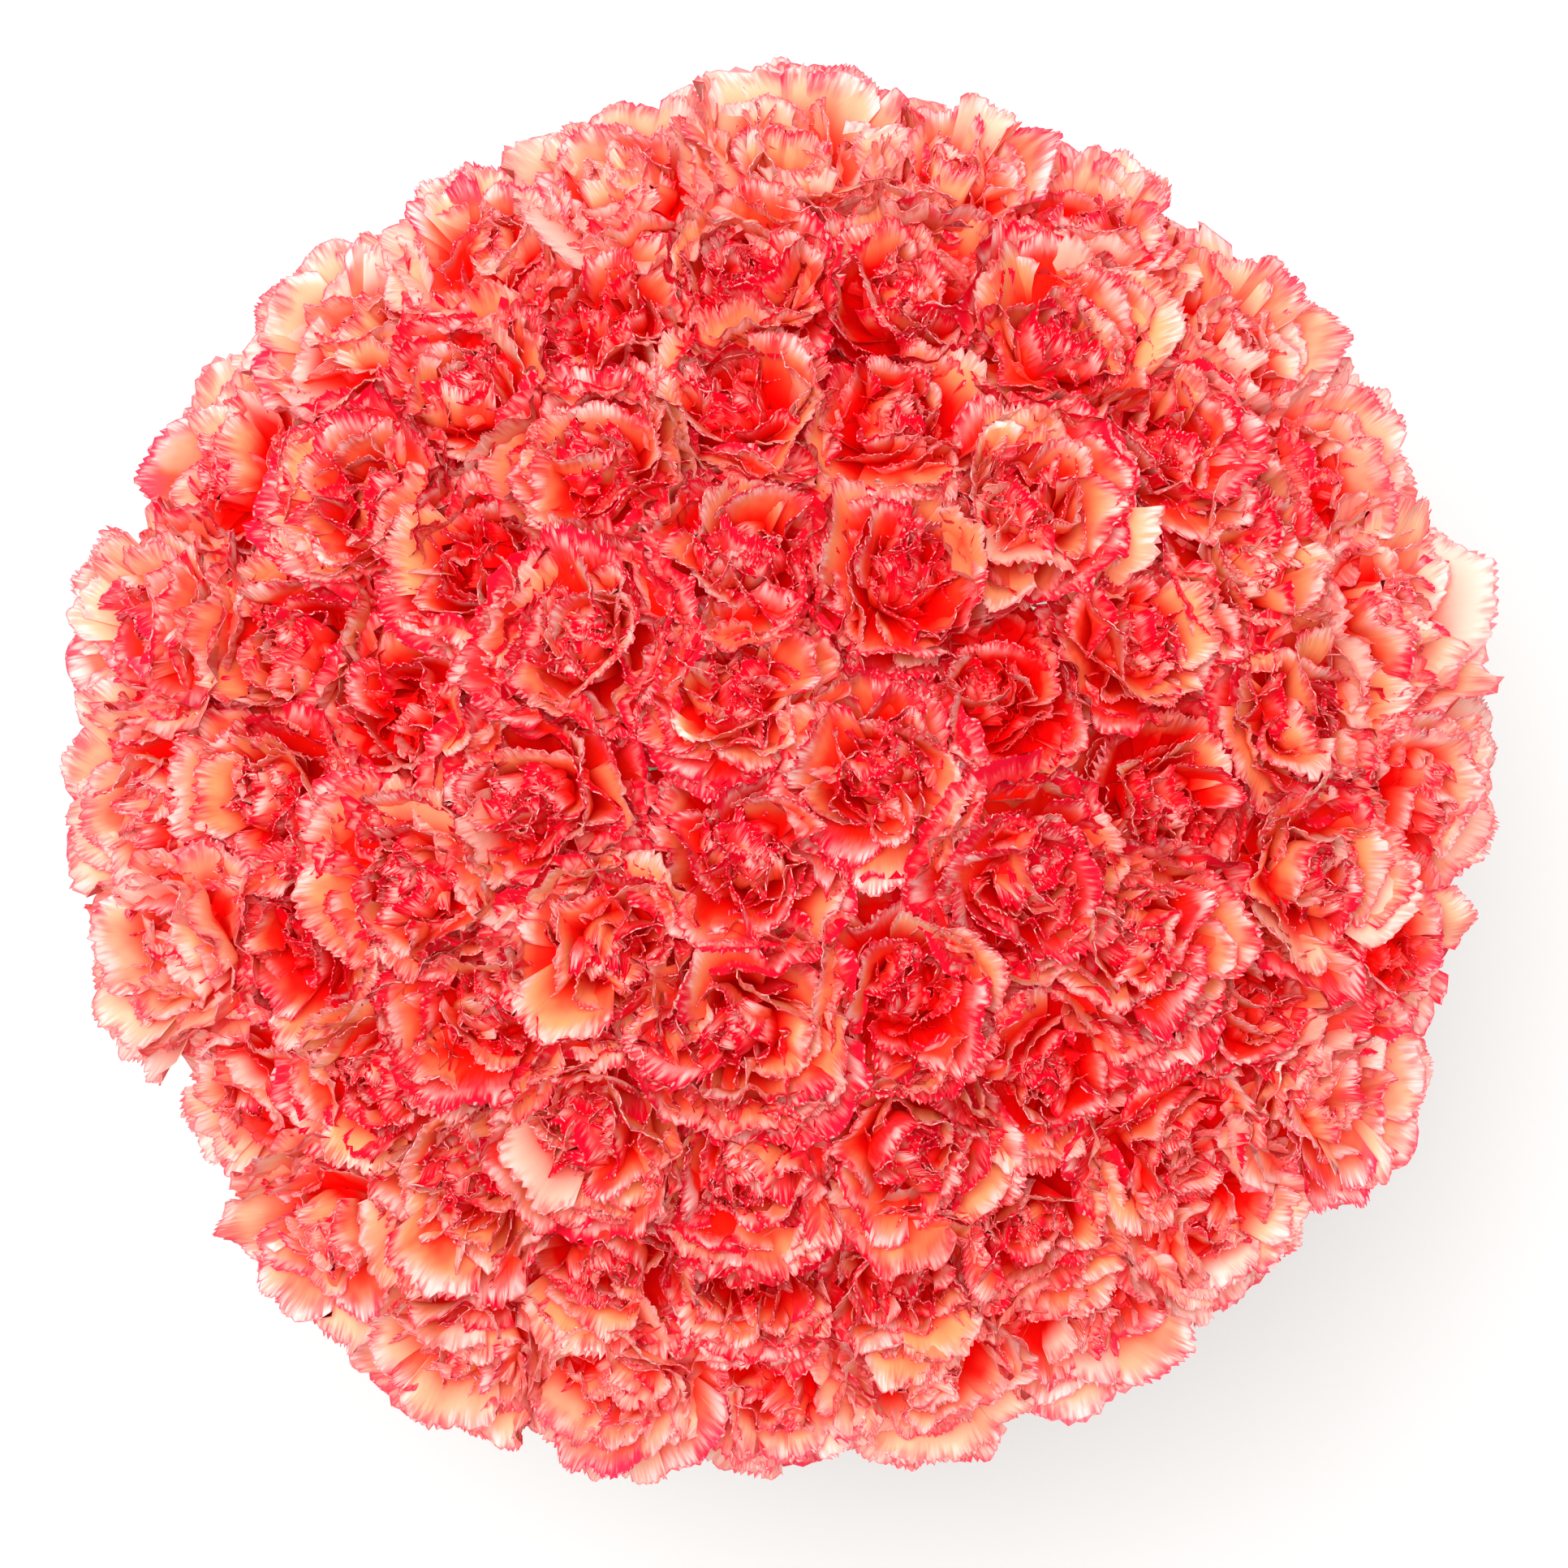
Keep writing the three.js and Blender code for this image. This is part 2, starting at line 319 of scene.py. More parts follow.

# %% [markdown]
# ### The markings
#
# The markings are one node group, so that every petal finish can share them and only choose its own
# colours. The group works like a painter, from the largest shapes to the smallest: first the peach
# ground with its cloudy patches, then the pale underside and claw, the pink flush, the light strokes
# (partly painted highlights) and the hard pink margin, and last a painted red shade where little light
# comes. It gives a colour, and the strokes once more as a height for the fine furrows.

# %% The markings of a carnation petal, as one node group
MARKINGS, given, result = new_group(
    "carnation markings",
    [
        *[(name, "Float") for name in ("Across", "Along", "Tone", "Shade depth", "Under", "Pink reach")],
        *[(name, "Color") for name in ("Ground", "Strong ground", "Margin", "Fleck and highlight")],
        *[(name, "Color") for name in ("Shade red", "Underside", "Claw")],
    ],
    [("Colour", "Color"), ("Strokes", "Float")],
)
across = given.outputs["Across"]
along = given.outputs["Along"]
tone = given.outputs["Tone"]
APART = 37.0
own_pattern = maths(MARKINGS, "MULTIPLY", tone, APART)


def stroke_noise(strokes_across, strokes_along, detail):
    """Noise drawn out along the petal, different on each."""
    place = node(MARKINGS, "ShaderNodeCombineXYZ", {
        "X": maths(MARKINGS, "MULTIPLY", across, strokes_across),
        "Y": maths(MARKINGS, "MULTIPLY", along, strokes_along),
        "Z": own_pattern,
    })
    return noise(MARKINGS, place.outputs[0], 1.0, detail)


strokes = stroke_noise(36.0, 4.0, 3.0)
patches = stroke_noise(3.2, 2.6, 2.0)


def off_middle(value, factor):
    """How far a noise value is from its middle, times a factor."""
    return maths(MARKINGS, "MULTIPLY", maths(MARKINGS, "SUBTRACT", value, 0.5), factor)


def colour_in(name):
    """One of the group's colours."""
    return given.outputs[name]


strong_ground = colour_in("Strong ground")
ground_share = maths(MARKINGS, "ADD", maths(MARKINGS, "MULTIPLY", tone, 0.8), off_middle(patches, 1.2))
ground = mix(MARKINGS, ramp(MARKINGS, ground_share, -0.10, 0.75), colour_in("Ground"), strong_ground)
# Petals of tone below zero are mixed towards the pale fleck colour; the palest few are painted
# highlights.
ground = mix(MARKINGS, ramp(MARKINGS, tone, -0.2, -0.6, 0.0, 0.6), ground, colour_in("Fleck and highlight"))
# Low on each petal the ground turns strong red-orange: partly the petal's own colour, partly painted
# shade where it lies under the petals above.
ground = mix(MARKINGS, ramp(MARKINGS, along, 0.88, 0.42, 0.0, 0.95), ground, strong_ground)
veins = ramp(MARKINGS, strokes, 0.42, 0.62, 0.0, 0.45)
veined = mix(MARKINGS, veins, colour_in("Underside"), strong_ground)
underside = mix(MARKINGS, ramp(MARKINGS, along, 0.44, 0.16), veined, colour_in("Claw"))
ground = mix(MARKINGS, given.outputs["Under"], ground, underside)
from_side = maths(MARKINGS, "ABSOLUTE", maths(MARKINGS, "SUBTRACT", across, 0.5))

reach = maths(MARKINGS, "ADD", along, off_middle(strokes, 0.30))
reach = maths(MARKINGS, "ADD", reach, off_middle(patches, 0.24))
reach = maths(MARKINGS, "ADD", reach, off_middle(tone, 0.12))
reach = maths(MARKINGS, "ADD", reach, ramp(MARKINGS, from_side, 0.42, 0.5, 0.0, 0.06))
reach = maths(MARKINGS, "ADD", reach, given.outputs["Pink reach"])
flush = ramp(MARKINGS, reach, 0.68, 0.92, 0.0, 0.75)
pale_patches = ramp(MARKINGS, patches, 0.56, 0.40, 0.06, 0.50)
flush_colour = mix(MARKINGS, pale_patches, colour_in("Margin"), colour_in("Fleck and highlight"))
painted = mix(MARKINGS, flush, ground, flush_colour)
# Pale flecks near the margin: partly pale streaks of the petal, partly painted highlights on the ruffled
# edge.
light_strokes = ramp(MARKINGS, strokes, 0.60, 0.36)
near_margin = ramp(MARKINGS, along, 0.79, 0.94, 0.0, 0.84)
in_patches = ramp(MARKINGS, patches, 0.58, 0.42, 0.40, 1.0)
flecks_and_highlights = maths(MARKINGS, "MULTIPLY", maths(MARKINGS, "MULTIPLY", near_margin, light_strokes), in_patches)
painted = mix(MARKINGS, flecks_and_highlights, painted, colour_in("Fleck and highlight"))
painted = mix(MARKINGS, ramp(MARKINGS, reach, 0.87, 1.0), painted, colour_in("Margin"))

# The cut edge is pink in places and pale in others; the pale parts are painted highlights where the edge
# catches light.
edge_pink_and_highlight = mix(MARKINGS, ramp(MARKINGS, strokes, 0.62, 0.50), colour_in("Fleck and highlight"), colour_in("Margin"))
painted = mix(MARKINGS, ramp(MARKINGS, along, 0.980, 0.998, 0.0, 0.6), painted, edge_pink_and_highlight)
# Painted shade: where a corner lies deep between petals, its colour turns to the saturated shade red,
# standing in for light bounced between red petals.
painted = mix(MARKINGS, given.outputs["Shade depth"], painted, colour_in("Shade red"))
MARKINGS.links.new(painted, result.inputs["Colour"])
MARKINGS.links.new(strokes, result.inputs["Strokes"])
print(f"Petal markings: {len(MARKINGS.nodes)} nodes")

# %% [markdown]
# ### Four petal finishes
#
# A real petal is so thin that light comes through it and warms its shaded side. Tracing that light
# through thousands of petals is slow, so the shader gives off a faint red glow of its own instead, as
# painted light. The face of a petal is stronger in colour than its back, and the heads at the rim are
# painted paler, with more glow, than the ones in the middle, as if lit more from the open sides of the
# bunch, so there are four finishes.


# %% Petal finishes from the markings
PETAL_GLOW = (1.0, 0.01, 0.005, 1.0)
PETAL_UNDERSIDE = srgb(255, 158, 120)
PETAL_CLAW = srgb(232, 230, 188)


def petal_material(name, ground, strong, margin, fleck_and_highlight, shade_red, pink_reach, glow):
    """A petal's finish: the markings over soft tissue that some light comes through."""
    material, tree, shader = new_material(name)
    petal_map = node(tree, "ShaderNodeUVMap", uv_map="UVMap")
    map_axes = node(tree, "ShaderNodeSeparateXYZ", {0: petal_map.outputs[0]})
    marks = node(tree, "ShaderNodeGroup", node_tree=MARKINGS)
    tree.links.new(map_axes.outputs[0], marks.inputs["Across"])
    tree.links.new(map_axes.outputs[1], marks.inputs["Along"])
    for socket, number in (("Tone", "tone"), ("Shade depth", "shade_depth"), ("Under", "under")):
        read = node(tree, "ShaderNodeAttribute", attribute_name=number)
        tree.links.new(read.outputs["Fac"], marks.inputs[socket])
    for socket, value in {
        "Ground": ground,
        "Strong ground": strong,
        "Margin": margin,
        "Fleck and highlight": fleck_and_highlight,
        "Shade red": shade_red,
        "Underside": PETAL_UNDERSIDE,
        "Claw": PETAL_CLAW,
        "Pink reach": pink_reach,
    }.items():
        marks.inputs[socket].default_value = value
    strokes = marks.outputs["Strokes"]
    sheen = ramp(tree, strokes, 0.3, 0.7, 0.72, 0.52)
    link_surface(tree, shader, marks.outputs["Colour"], sheen, strokes, 0.45, 0.5 * MM)
    shader.inputs["Specular IOR Level"].default_value = 0.05
    shader.inputs["Emission Color"].default_value = PETAL_GLOW
    shader.inputs["Emission Strength"].default_value = glow
    return material


petal_back = petal_material(
    "petal back", ground=srgb(255, 174, 112), strong=srgb(248, 22, 8), margin=srgb(236, 6, 44),
    fleck_and_highlight=srgb(255, 220, 214), shade_red=srgb(236, 0, 2), pink_reach=0.01, glow=0.047,
)
petal_face = petal_material(
    "petal face", ground=srgb(255, 176, 118), strong=srgb(250, 34, 16), margin=srgb(240, 20, 56),
    fleck_and_highlight=srgb(255, 224, 218), shade_red=srgb(236, 0, 2), pink_reach=-0.03, glow=0.047,
)
# The rim finishes are paler copies with more glow: painted light, as if the rim heads were lit more from
# the open sides.
rim_petal_back = petal_material(
    "rim petal back", ground=srgb(255, 184, 132), strong=srgb(252, 58, 30), margin=srgb(240, 24, 62),
    fleck_and_highlight=srgb(255, 222, 216), shade_red=srgb(250, 4, 2), pink_reach=-0.01, glow=0.082,
)
rim_petal_face = petal_material(
    "rim petal face", ground=srgb(255, 196, 156), strong=srgb(254, 78, 48), margin=srgb(246, 50, 86),
    fleck_and_highlight=srgb(255, 230, 226), shade_red=srgb(250, 6, 4), pink_reach=-0.04, glow=0.082,
)
petal_finishes = [petal_back, petal_face, rim_petal_back, rim_petal_face]
print("Finishes:", [material.name for material in petal_finishes])

# %% [markdown]
# ## One petal
#
# A carnation petal is a fan on a narrow claw. It climbs out of the green cup, bends outwards, and its
# toothed margin ruffles because it grew longer than it has room for. In Blender you could pull such a
# fan about with soft selection, but forty petals a head would take a day. Instead one flat grid is
# added for each whorl, a whorl being one circle of petals. Each petal is a copy of it, and a few
# curves give every corner its place: how far it leans at each height, the ruffle that grows towards
# the margin, and the teeth in the last row. Its map stays that of the flat grid, so the paint follows.

# %% How a petal is bent and ruffled
WHORL_FIELDS = "petals columns rows length foot lean scatter width ruffle waves curl roll cup tone tilt"
Whorl = namedtuple("Whorl", WHORL_FIELDS + " off_centre yaw")
TEETH_A_COLUMN = 3
DEEP_TOOTH = 0.055
SHALLOW_TOOTH = 0.018
PETAL_THICKNESS = 0.35 * MM
TIGHTEST_BEND = 8 * MM


def soft_step(low, high, values):
    """0 below low, 1 above high, and smooth between."""
    share = np.clip((values - low) / (high - low), 0, 1)
    return share * share * (3 - 2 * share)


def along_margin(across, along, whorl, draw):
    """How far along a petal each corner is, once its margin is rounded and toothed."""
    margin_steps = whorl.columns * TEETH_A_COLUMN
    column = np.rint((across + 1) / 2 * margin_steps).astype(int)
    tooth_depth = np.where(np.arange(margin_steps + 1) % 2, DEEP_TOOTH, SHALLOW_TOOTH)
    tooth = draw.uniform(0.0, 1.0, margin_steps + 1) * tooth_depth
    swell = draw.uniform(0, math.tau, 3)
    margin = 1 - 0.12 * np.abs(across) ** 3
    margin -= 0.03 * (np.sin(3.1 * across + swell[0]) + 0.6 * np.sin(7.3 * across + swell[1]))
    margin -= tooth[column] * (along > 0.99)
    return along * margin


def bent_middle(distance, whorl, draw):
    """How far out, how far up, and how far from upright the petal is at these distances along it."""
    lean_foot, lean_limb = np.radians(np.array(whorl.lean) + draw.uniform(-1, 1, 2) * (3, whorl.scatter))
    curl = math.radians(whorl.curl + draw.uniform(-22, 22))
    roll = math.radians(whorl.roll + draw.uniform(-25, 25))
    steps = np.linspace(0, 1.1, 56)
    lean = lean_foot + (lean_limb - lean_foot) * soft_step(0.16, 0.60, steps)
    lean += curl * soft_step(0.55, 0.90, steps) + roll * soft_step(0.84, 1.0, steps)
    stride = whorl.length * MM * draw.uniform(0.78, 1.12) * (steps[1] - steps[0])
    out_steps = np.cumsum(np.sin(lean) * stride) - np.sin(lean[0]) * stride
    up_steps = np.cumsum(np.cos(lean) * stride) - np.cos(lean[0]) * stride
    out = whorl.foot[0] * MM + np.interp(distance, steps, out_steps)
    up = whorl.foot[1] * MM + np.interp(distance, steps, up_steps)
    return out, up, np.interp(distance, steps, lean)


def ruffle(across, along, whorl, draw):
    """How far each corner is lifted off the petal and pushed sideways."""
    phase = draw.uniform(0, math.tau, 4)
    turns = whorl.waves * draw.uniform(0.75, 1.3) * math.pi * across
    size = whorl.ruffle * MM * draw.uniform(0.6, 1.4)
    wave = np.sin(turns + phase[0] + 1.2 * along) + 0.5 * np.sin(0.45 * turns + phase[1])
    lift = size * along**2 * wave
    lift += 0.36 * size * along**5 * np.sin(2.0 * turns + phase[2])
    lift += whorl.cup * MM * draw.normal() * across**2 * along**2
    lift += 0.35 * MM * np.sin(27 * across + phase[3]) * along**2
    lift += draw.normal(0, 0.22 * MM, len(along)) * along**6
    return lift, 0.65 * size * along**2 * np.cos(turns + phase[0] + 1.2 * along + 0.6)


def petal_corners(flat, whorl, draw):
    """The corners of one petal, standing around the head's axis with its middle over +X."""
    across = flat[:, 0]
    along = ((flat[:, 1] + 1) / 2) ** 0.8
    out, up, leaning = bent_middle(along_margin(across, along, whorl, draw), whorl, draw)
    lift, sideways = ruffle(across, along, whorl, draw)
    half_width = whorl.width * MM * draw.uniform(0.88, 1.12) * (0.12 + 0.88 * along**1.2)
    bend = np.hypot(out, TIGHTEST_BEND)
    turn = half_width * across / bend
    shell = bend + lift * np.cos(leaning)
    return np.stack([
        out - bend + shell * np.cos(turn) - sideways * np.sin(turn),
        shell * np.sin(turn) + sideways * np.cos(turn),
        up - lift * np.sin(leaning),
    ], axis=1)


print("A whorl is told by", ", ".join(Whorl._fields))

# %% [markdown]
# ## A second map, with the petals side by side
#
# All petals share one map, laid over each other, which is right for painting with noise. To store the
# finished colours as a picture, every petal side needs an area of its own. So a second map puts them
# side by side in cells. The cut edges between the two sides get a thin border round the back's cell.


# %% A second map with the petals side by side
CELLS_ACROSS = 16
CELL_ROWS = 6
CELL_FILL = 0.88
BORDER = 1.06


def spread_map(piece, sheet_corners, sheet_faces):
    """Gives each side of each petal a cell of its own."""
    mesh = piece.data
    petal_map = np.empty(len(mesh.loops) * 2)
    mesh.uv_layers["UVMap"].uv.foreach_get("vector", petal_map)
    corner = np.empty(len(mesh.loops), int)
    mesh.loops.foreach_get("vertex_index", corner)
    sizes = np.empty(len(mesh.polygons), int)
    mesh.polygons.foreach_get("loop_total", sizes)
    face = np.repeat(np.arange(len(sizes)), sizes)
    cell = 2 * numbers(piece, "petal").astype(int)[corner] + (face >= sheet_faces)
    on_cut_edge = (face >= 2 * sheet_faces) & (corner < sheet_corners)
    growth = CELL_FILL * np.where(on_cut_edge, BORDER, 1.0)
    in_cell = (petal_map.reshape(-1, 2) - 0.5) * growth[:, None] + 0.5
    cell_corner = np.stack([cell % CELLS_ACROSS, cell // CELLS_ACROSS], axis=1)
    spread = (in_cell + cell_corner) / (CELLS_ACROSS, CELL_ROWS * GROUP_SIZE)
    mesh.uv_layers.new(name="OFBake", do_init=False)
    mesh.uv_layers["OFBake"].uv.foreach_set("vector", spread.ravel())


print(f"Room for {CELLS_ACROSS * CELL_ROWS // 2} petals a head")

# %% [markdown]
# ## One head
#
# A head has about forty-five petals in whorls. The guard petals spread flat, the next ones stand ever
# steeper, and the heart is a crumpled knot of small ones. Solidify gives the thin sheets their real
# thickness afterwards. The grid's own side looks down and outwards, so it gets the finish of a petal's
# back. The side that Solidify adds looks up into the flower, and gets the finish of its face.
#
# Only the margin has teeth, so only the last edge of each flat petal is cut finer. Each corner also
# keeps a number for how far it belongs to the pale underside of the flower, which you see when the
# bunch is held up: the outer sides of all petals near the green cup, and more of the lowest two whorls.


# %% Build one head from its whorls
def split_margin(blank):
    """Cuts the last edge of a flat petal finer, for its teeth."""
    bpy.ops.object.mode_set(mode="EDIT")
    bpy.ops.mesh.select_all(action="DESELECT")
    bpy.ops.object.mode_set(mode="OBJECT")
    for edge in blank.data.edges:
        edge.select = all(blank.data.vertices[i].co.y > 0.999 for i in edge.vertices)
    bpy.ops.object.mode_set(mode="EDIT")
    bpy.ops.mesh.select_mode(type="EDGE")
    bpy.ops.mesh.subdivide(number_cuts=TEETH_A_COLUMN - 1, quadcorner="INNERVERT")
    bpy.ops.object.mode_set(mode="OBJECT")


def petals_of(whorl, first_number, draw):
    """The petals of one whorl, each with its whorl's tone and a number of its own."""
    select_only()
    bpy.ops.mesh.primitive_grid_add(x_subdivisions=whorl.columns, y_subdivisions=whorl.rows, size=2)
    blank = bpy.context.object
    split_margin(blank)
    flat = corners(blank)
    first_turn = draw.uniform(0, math.tau)
    petals = []
    for i in range(whorl.petals):
        petal = copy_of(blank, "petal")
        rows = petal_corners(flat, whorl, draw)
        facing = first_turn + math.tau * (i + draw.uniform(-0.25, 0.25)) / whorl.petals
        yaw = facing + math.radians(draw.uniform(-1, 1) * whorl.yaw)
        outwards = level_frame(facing)[0] * (whorl.off_centre * MM * draw.uniform(0.4, 1.2))
        spin = Matrix.Translation(outwards) @ Matrix.Rotation(yaw, 4, "Z")
        tip_axis = level_frame(draw.uniform(0, math.tau))[0]
        tilt = Matrix.Rotation(math.radians(draw.uniform(-1, 1) * whorl.tilt), 4, tip_axis)
        move_corners(petal, placed_rows(rows, tilt @ spin))
        set_numbers(petal, "tone", np.full(len(rows), whorl.tone))
        set_numbers(petal, "petal", np.full(len(rows), first_number + i))
        petals.append(petal)
    bpy.data.objects.remove(blank)
    return petals


def head(name, whorls, back, face, seed):
    """One head of carnation petals, its axis up and the mouth of its green cup at the origin."""
    draw = np.random.default_rng(seed)
    petals = []
    for whorl in whorls:
        petals += petals_of(whorl, len(petals), draw)
    whole = joined(petals, name)
    whole.data.materials.append(back)
    whole.data.materials.append(face)
    sheet_corners = len(whole.data.vertices)
    sheet_faces = len(whole.data.polygons)
    sides = {"use_rim": True, "material_offset": 1, "material_offset_rim": 1}
    apply_modifier(whole, "SOLIDIFY", thickness=PETAL_THICKNESS, offset=0, **sides)
    spread_map(whole, sheet_corners, sheet_faces)
    in_lowest = numbers(whole, "petal") < whorls[0].petals + whorls[1].petals
    pale_below = np.where(in_lowest, 30, 17)
    under = soft_step(pale_below, pale_below - 14, corners(whole)[:, 2] / MM)
    under[sheet_corners:] = 0
    set_numbers(whole, "under", under)
    bpy.ops.object.shade_smooth_by_angle(angle=math.radians(60))
    return whole


print(f"The last edge of a petal of 14 columns has {14 * TEETH_A_COLUMN} steps")

# %% [markdown]
# ### Ten head patterns
#
# Six patterns serve the inner rings and four the rim, where heads have more room: their guard petals
# lie flatter and hang over. Lengths and widths are in millimetres. The two leans are the angles from
# upright at the claw and at the fan, and the tone runs from almost white below zero to red at one.

# %% The whorls of the two kinds of head
INNER_WHORLS = [
    # The lowest whorl is seen from above only in the gaps between heads, so its high tone paints it red
    # there as painted shade.
    Whorl(petals=7, columns=8, rows=3, length=57, foot=(4.5, -6),
          lean=(8, 84), scatter=4, width=33, ruffle=2.0,
          waves=1.2, curl=0, roll=0, cup=2.0, tone=0.85, tilt=3, off_centre=0, yaw=0),
    Whorl(petals=8, columns=14, rows=7, length=55, foot=(4.5, -6),
          lean=(6, 68), scatter=24, width=21, ruffle=4.0,
          waves=0.9, curl=-4, roll=16, cup=5.0, tone=0.10, tilt=8, off_centre=3, yaw=25),
    Whorl(petals=8, columns=14, rows=7, length=53, foot=(4.0, -6),
          lean=(4, 54), scatter=26, width=20, ruffle=4.8,
          waves=0.9, curl=-10, roll=20, cup=5.0, tone=0.20, tilt=12, off_centre=5, yaw=40),
    Whorl(petals=8, columns=14, rows=6, length=50, foot=(3.6, -6),
          lean=(2, 42), scatter=24, width=18, ruffle=4.6,
          waves=1.1, curl=-22, roll=24, cup=5.0, tone=0.30, tilt=15, off_centre=6, yaw=60),
    Whorl(petals=8, columns=12, rows=6, length=47, foot=(3.2, -6),
          lean=(-2, 30), scatter=18, width=15, ruffle=3.2,
          waves=1.4, curl=-48, roll=24, cup=3.0, tone=0.40, tilt=15, off_centre=6, yaw=90),
    Whorl(petals=8, columns=12, rows=6, length=46, foot=(2.4, -6),
          lean=(-4, 22), scatter=14, width=13, ruffle=2.4,
          waves=1.4, curl=-76, roll=10, cup=2.0, tone=0.46, tilt=14, off_centre=6, yaw=120),
]
# Lower tones make the rim heads paler, as painted light from the open sides of the bunch.
RIM_WHORLS = [
    INNER_WHORLS[0]._replace(tone=0.1),
    INNER_WHORLS[1]._replace(petals=9, length=57, lean=(8, 76), scatter=16,
                             ruffle=2.8, curl=2, tone=-0.02),
    INNER_WHORLS[2]._replace(lean=(6, 62), scatter=20, ruffle=3.6, tone=0.04),
    INNER_WHORLS[3]._replace(tone=0.12),
    INNER_WHORLS[4]._replace(petals=7, tone=0.22),
    INNER_WHORLS[5]._replace(petals=7, tone=0.30),
]
print("Petals a head:", sum(w.petals for w in INNER_WHORLS), "or", sum(w.petals for w in RIM_WHORLS))

# %% [markdown]
# Now the patterns themselves. Each is drawn from its own seed, a starting number for the chances, so
# the same ten heads come out every time.

# %% Build the ten patterns
INNER_HEADS = [
    head(f"inner head {i + 1}", INNER_WHORLS, petal_back, petal_face, seed=20 + i) for i in range(6)
]
RIM_HEADS = [
    head(f"rim head {i + 1}", RIM_WHORLS, rim_petal_back, rim_petal_face, seed=40 + i) for i in range(4)
]
print("Triangles a head:", [triangles(piece) for piece in INNER_HEADS + RIM_HEADS])

# %% [markdown]
# ## The dome of heads
#
# Heads press on each other in a tight bunch. Where two meet, petals that would pass through the next
# head turn upwards along it instead, some a little over it and some a little short. That makes the
# walls of standing, ruffled edges between heads. Each copy is pressed by its own neighbours, so no two
# heads are the same although there are only ten patterns.
#
# Light that falls between petals bounces from red to red and comes out as the deepest colour of the
# head. That red is painted shade: each corner keeps a number for how deep it lies, and the paint turns
# red with it.


# %% Press each copy against its neighbours
def soft_excess(values, width):
    """How far values are above zero, with a rounded start."""
    rounded = (np.clip(values, -width, width) + width) ** 2 / (4 * width)
    return np.where(values > width, values, rounded)


NEIGHBOUR_REACH = 105 * MM
MOST_NOD = 14
PRESSED_BACK = 0.72
PRESSED_UP = 0.62
RISING_OVER = 0.25
MOST_LIFT = 14 * MM
TONE_SPREAD = 0.33
PAINTED_HIGHLIGHT_PETALS = 0.02


def set_head(item, draw):
    """A copy of a head pattern, spun, pressed and put in its place in the dome."""
    patterns = RIM_HEADS if item.ring == RIM else INNER_HEADS
    pattern = patterns[draw.integers(len(patterns))]
    piece = copy_of(pattern, f"head_ring{item.ring + 1}_{item.place + 1}")
    spin = Matrix.Rotation(draw.uniform(0, math.tau), 4, "Z") @ Matrix.Scale(draw.uniform(0.90, 1.10), 4)
    nod_angle = math.radians(draw.uniform(0, MOST_NOD))
    nod = Matrix.Rotation(nod_angle, 4, level_frame(draw.uniform(0, math.tau))[0])
    rise = Matrix.Translation((0, 0, draw.uniform(-5, 5) * MM))
    rows = placed_rows(corners(piece), rise @ nod @ spin)
    petal = numbers(piece, "petal").astype(int)
    petal_count = petal.max() + 1
    overlap = draw.uniform(-5.0, 15.0, petal_count)[petal] * MM
    phase = draw.uniform(0, math.tau, petal_count)[petal]
    to_local = item.bloom.inverted()
    loose = soft_step(6 * MM, 16 * MM, rows[:, 2])
    lift = np.zeros(len(rows))
    for other in flowers:
        if other is item or (other.middle - item.middle).length > NEIGHBOUR_REACH:
            continue
        towards = (to_local @ other.middle).to_2d()
        half = towards.length / 2
        towards.normalize()
        distance = rows[:, 0] * towards.x + rows[:, 1] * towards.y
        beside = (rows[:, 1] * towards.x - rows[:, 0] * towards.y) / MM
        wavy = 2.4 * np.sin(beside / 3.4 + phase)
        wavy += 1.5 * np.sin(beside / 1.7 + 2 * phase + 0.12 * rows[:, 2] / MM)
        excess = soft_excess(distance - half - overlap - wavy * MM, 4 * MM) * loose
        rows[:, 0] -= PRESSED_BACK * excess * towards.x
        rows[:, 1] -= PRESSED_BACK * excess * towards.y
        over_neighbour = soft_excess(distance - half + 4 * MM, 3 * MM) * (overlap > 2 * MM)
        lift += PRESSED_UP * excess + RISING_OVER * loose * over_neighbour
    rows[:, 2] += np.minimum(lift, MOST_LIFT)
    # Painted shade: the deeper a corner lies under the dome's outer skin, the more its paint turns red;
    # less so on the open outer side of rim heads, and not on the pale underside.
    radius = np.hypot(rows[:, 0], rows[:, 1]) / MM
    outer_skin = 34.5 - 8.5 * (np.clip(radius, 0, 36) / 36) ** 2
    shade_depth = soft_step(-1, 11, outer_skin - rows[:, 2] / MM)
    if item.ring == RIM:
        shade_depth *= 1 - soft_step(6, 22, rows[:, 0] / MM)
    set_numbers(piece, "shade_depth", shade_depth * (1 - numbers(piece, "under")))
    move_corners(piece, placed_rows(rows, item.bloom))
    # The ring term is painted light: middle heads are made redder and heads towards the rim paler; the
    # rest of the tone is random.
    tone = numbers(piece, "tone") + draw.normal(0, 0.10) + 0.33 - 0.10 * item.ring
    tone += draw.normal(0, TONE_SPREAD, petal_count)[petal]
    # A few petals are painted almost white, as a painted highlight of a petal catching the light.
    tone -= 0.6 * (draw.random(petal_count) < PAINTED_HIGHLIGHT_PETALS)[petal]
    set_numbers(piece, "tone", np.clip(tone, -0.5, 1))
    spread = np.empty(len(piece.data.loops) * 2)
    piece.data.uv_layers["OFBake"].uv.foreach_get("vector", spread)
    spread[1::2] += (item.place % GROUP_SIZE) / GROUP_SIZE
    piece.data.uv_layers["OFBake"].uv.foreach_set("vector", spread)
    return piece


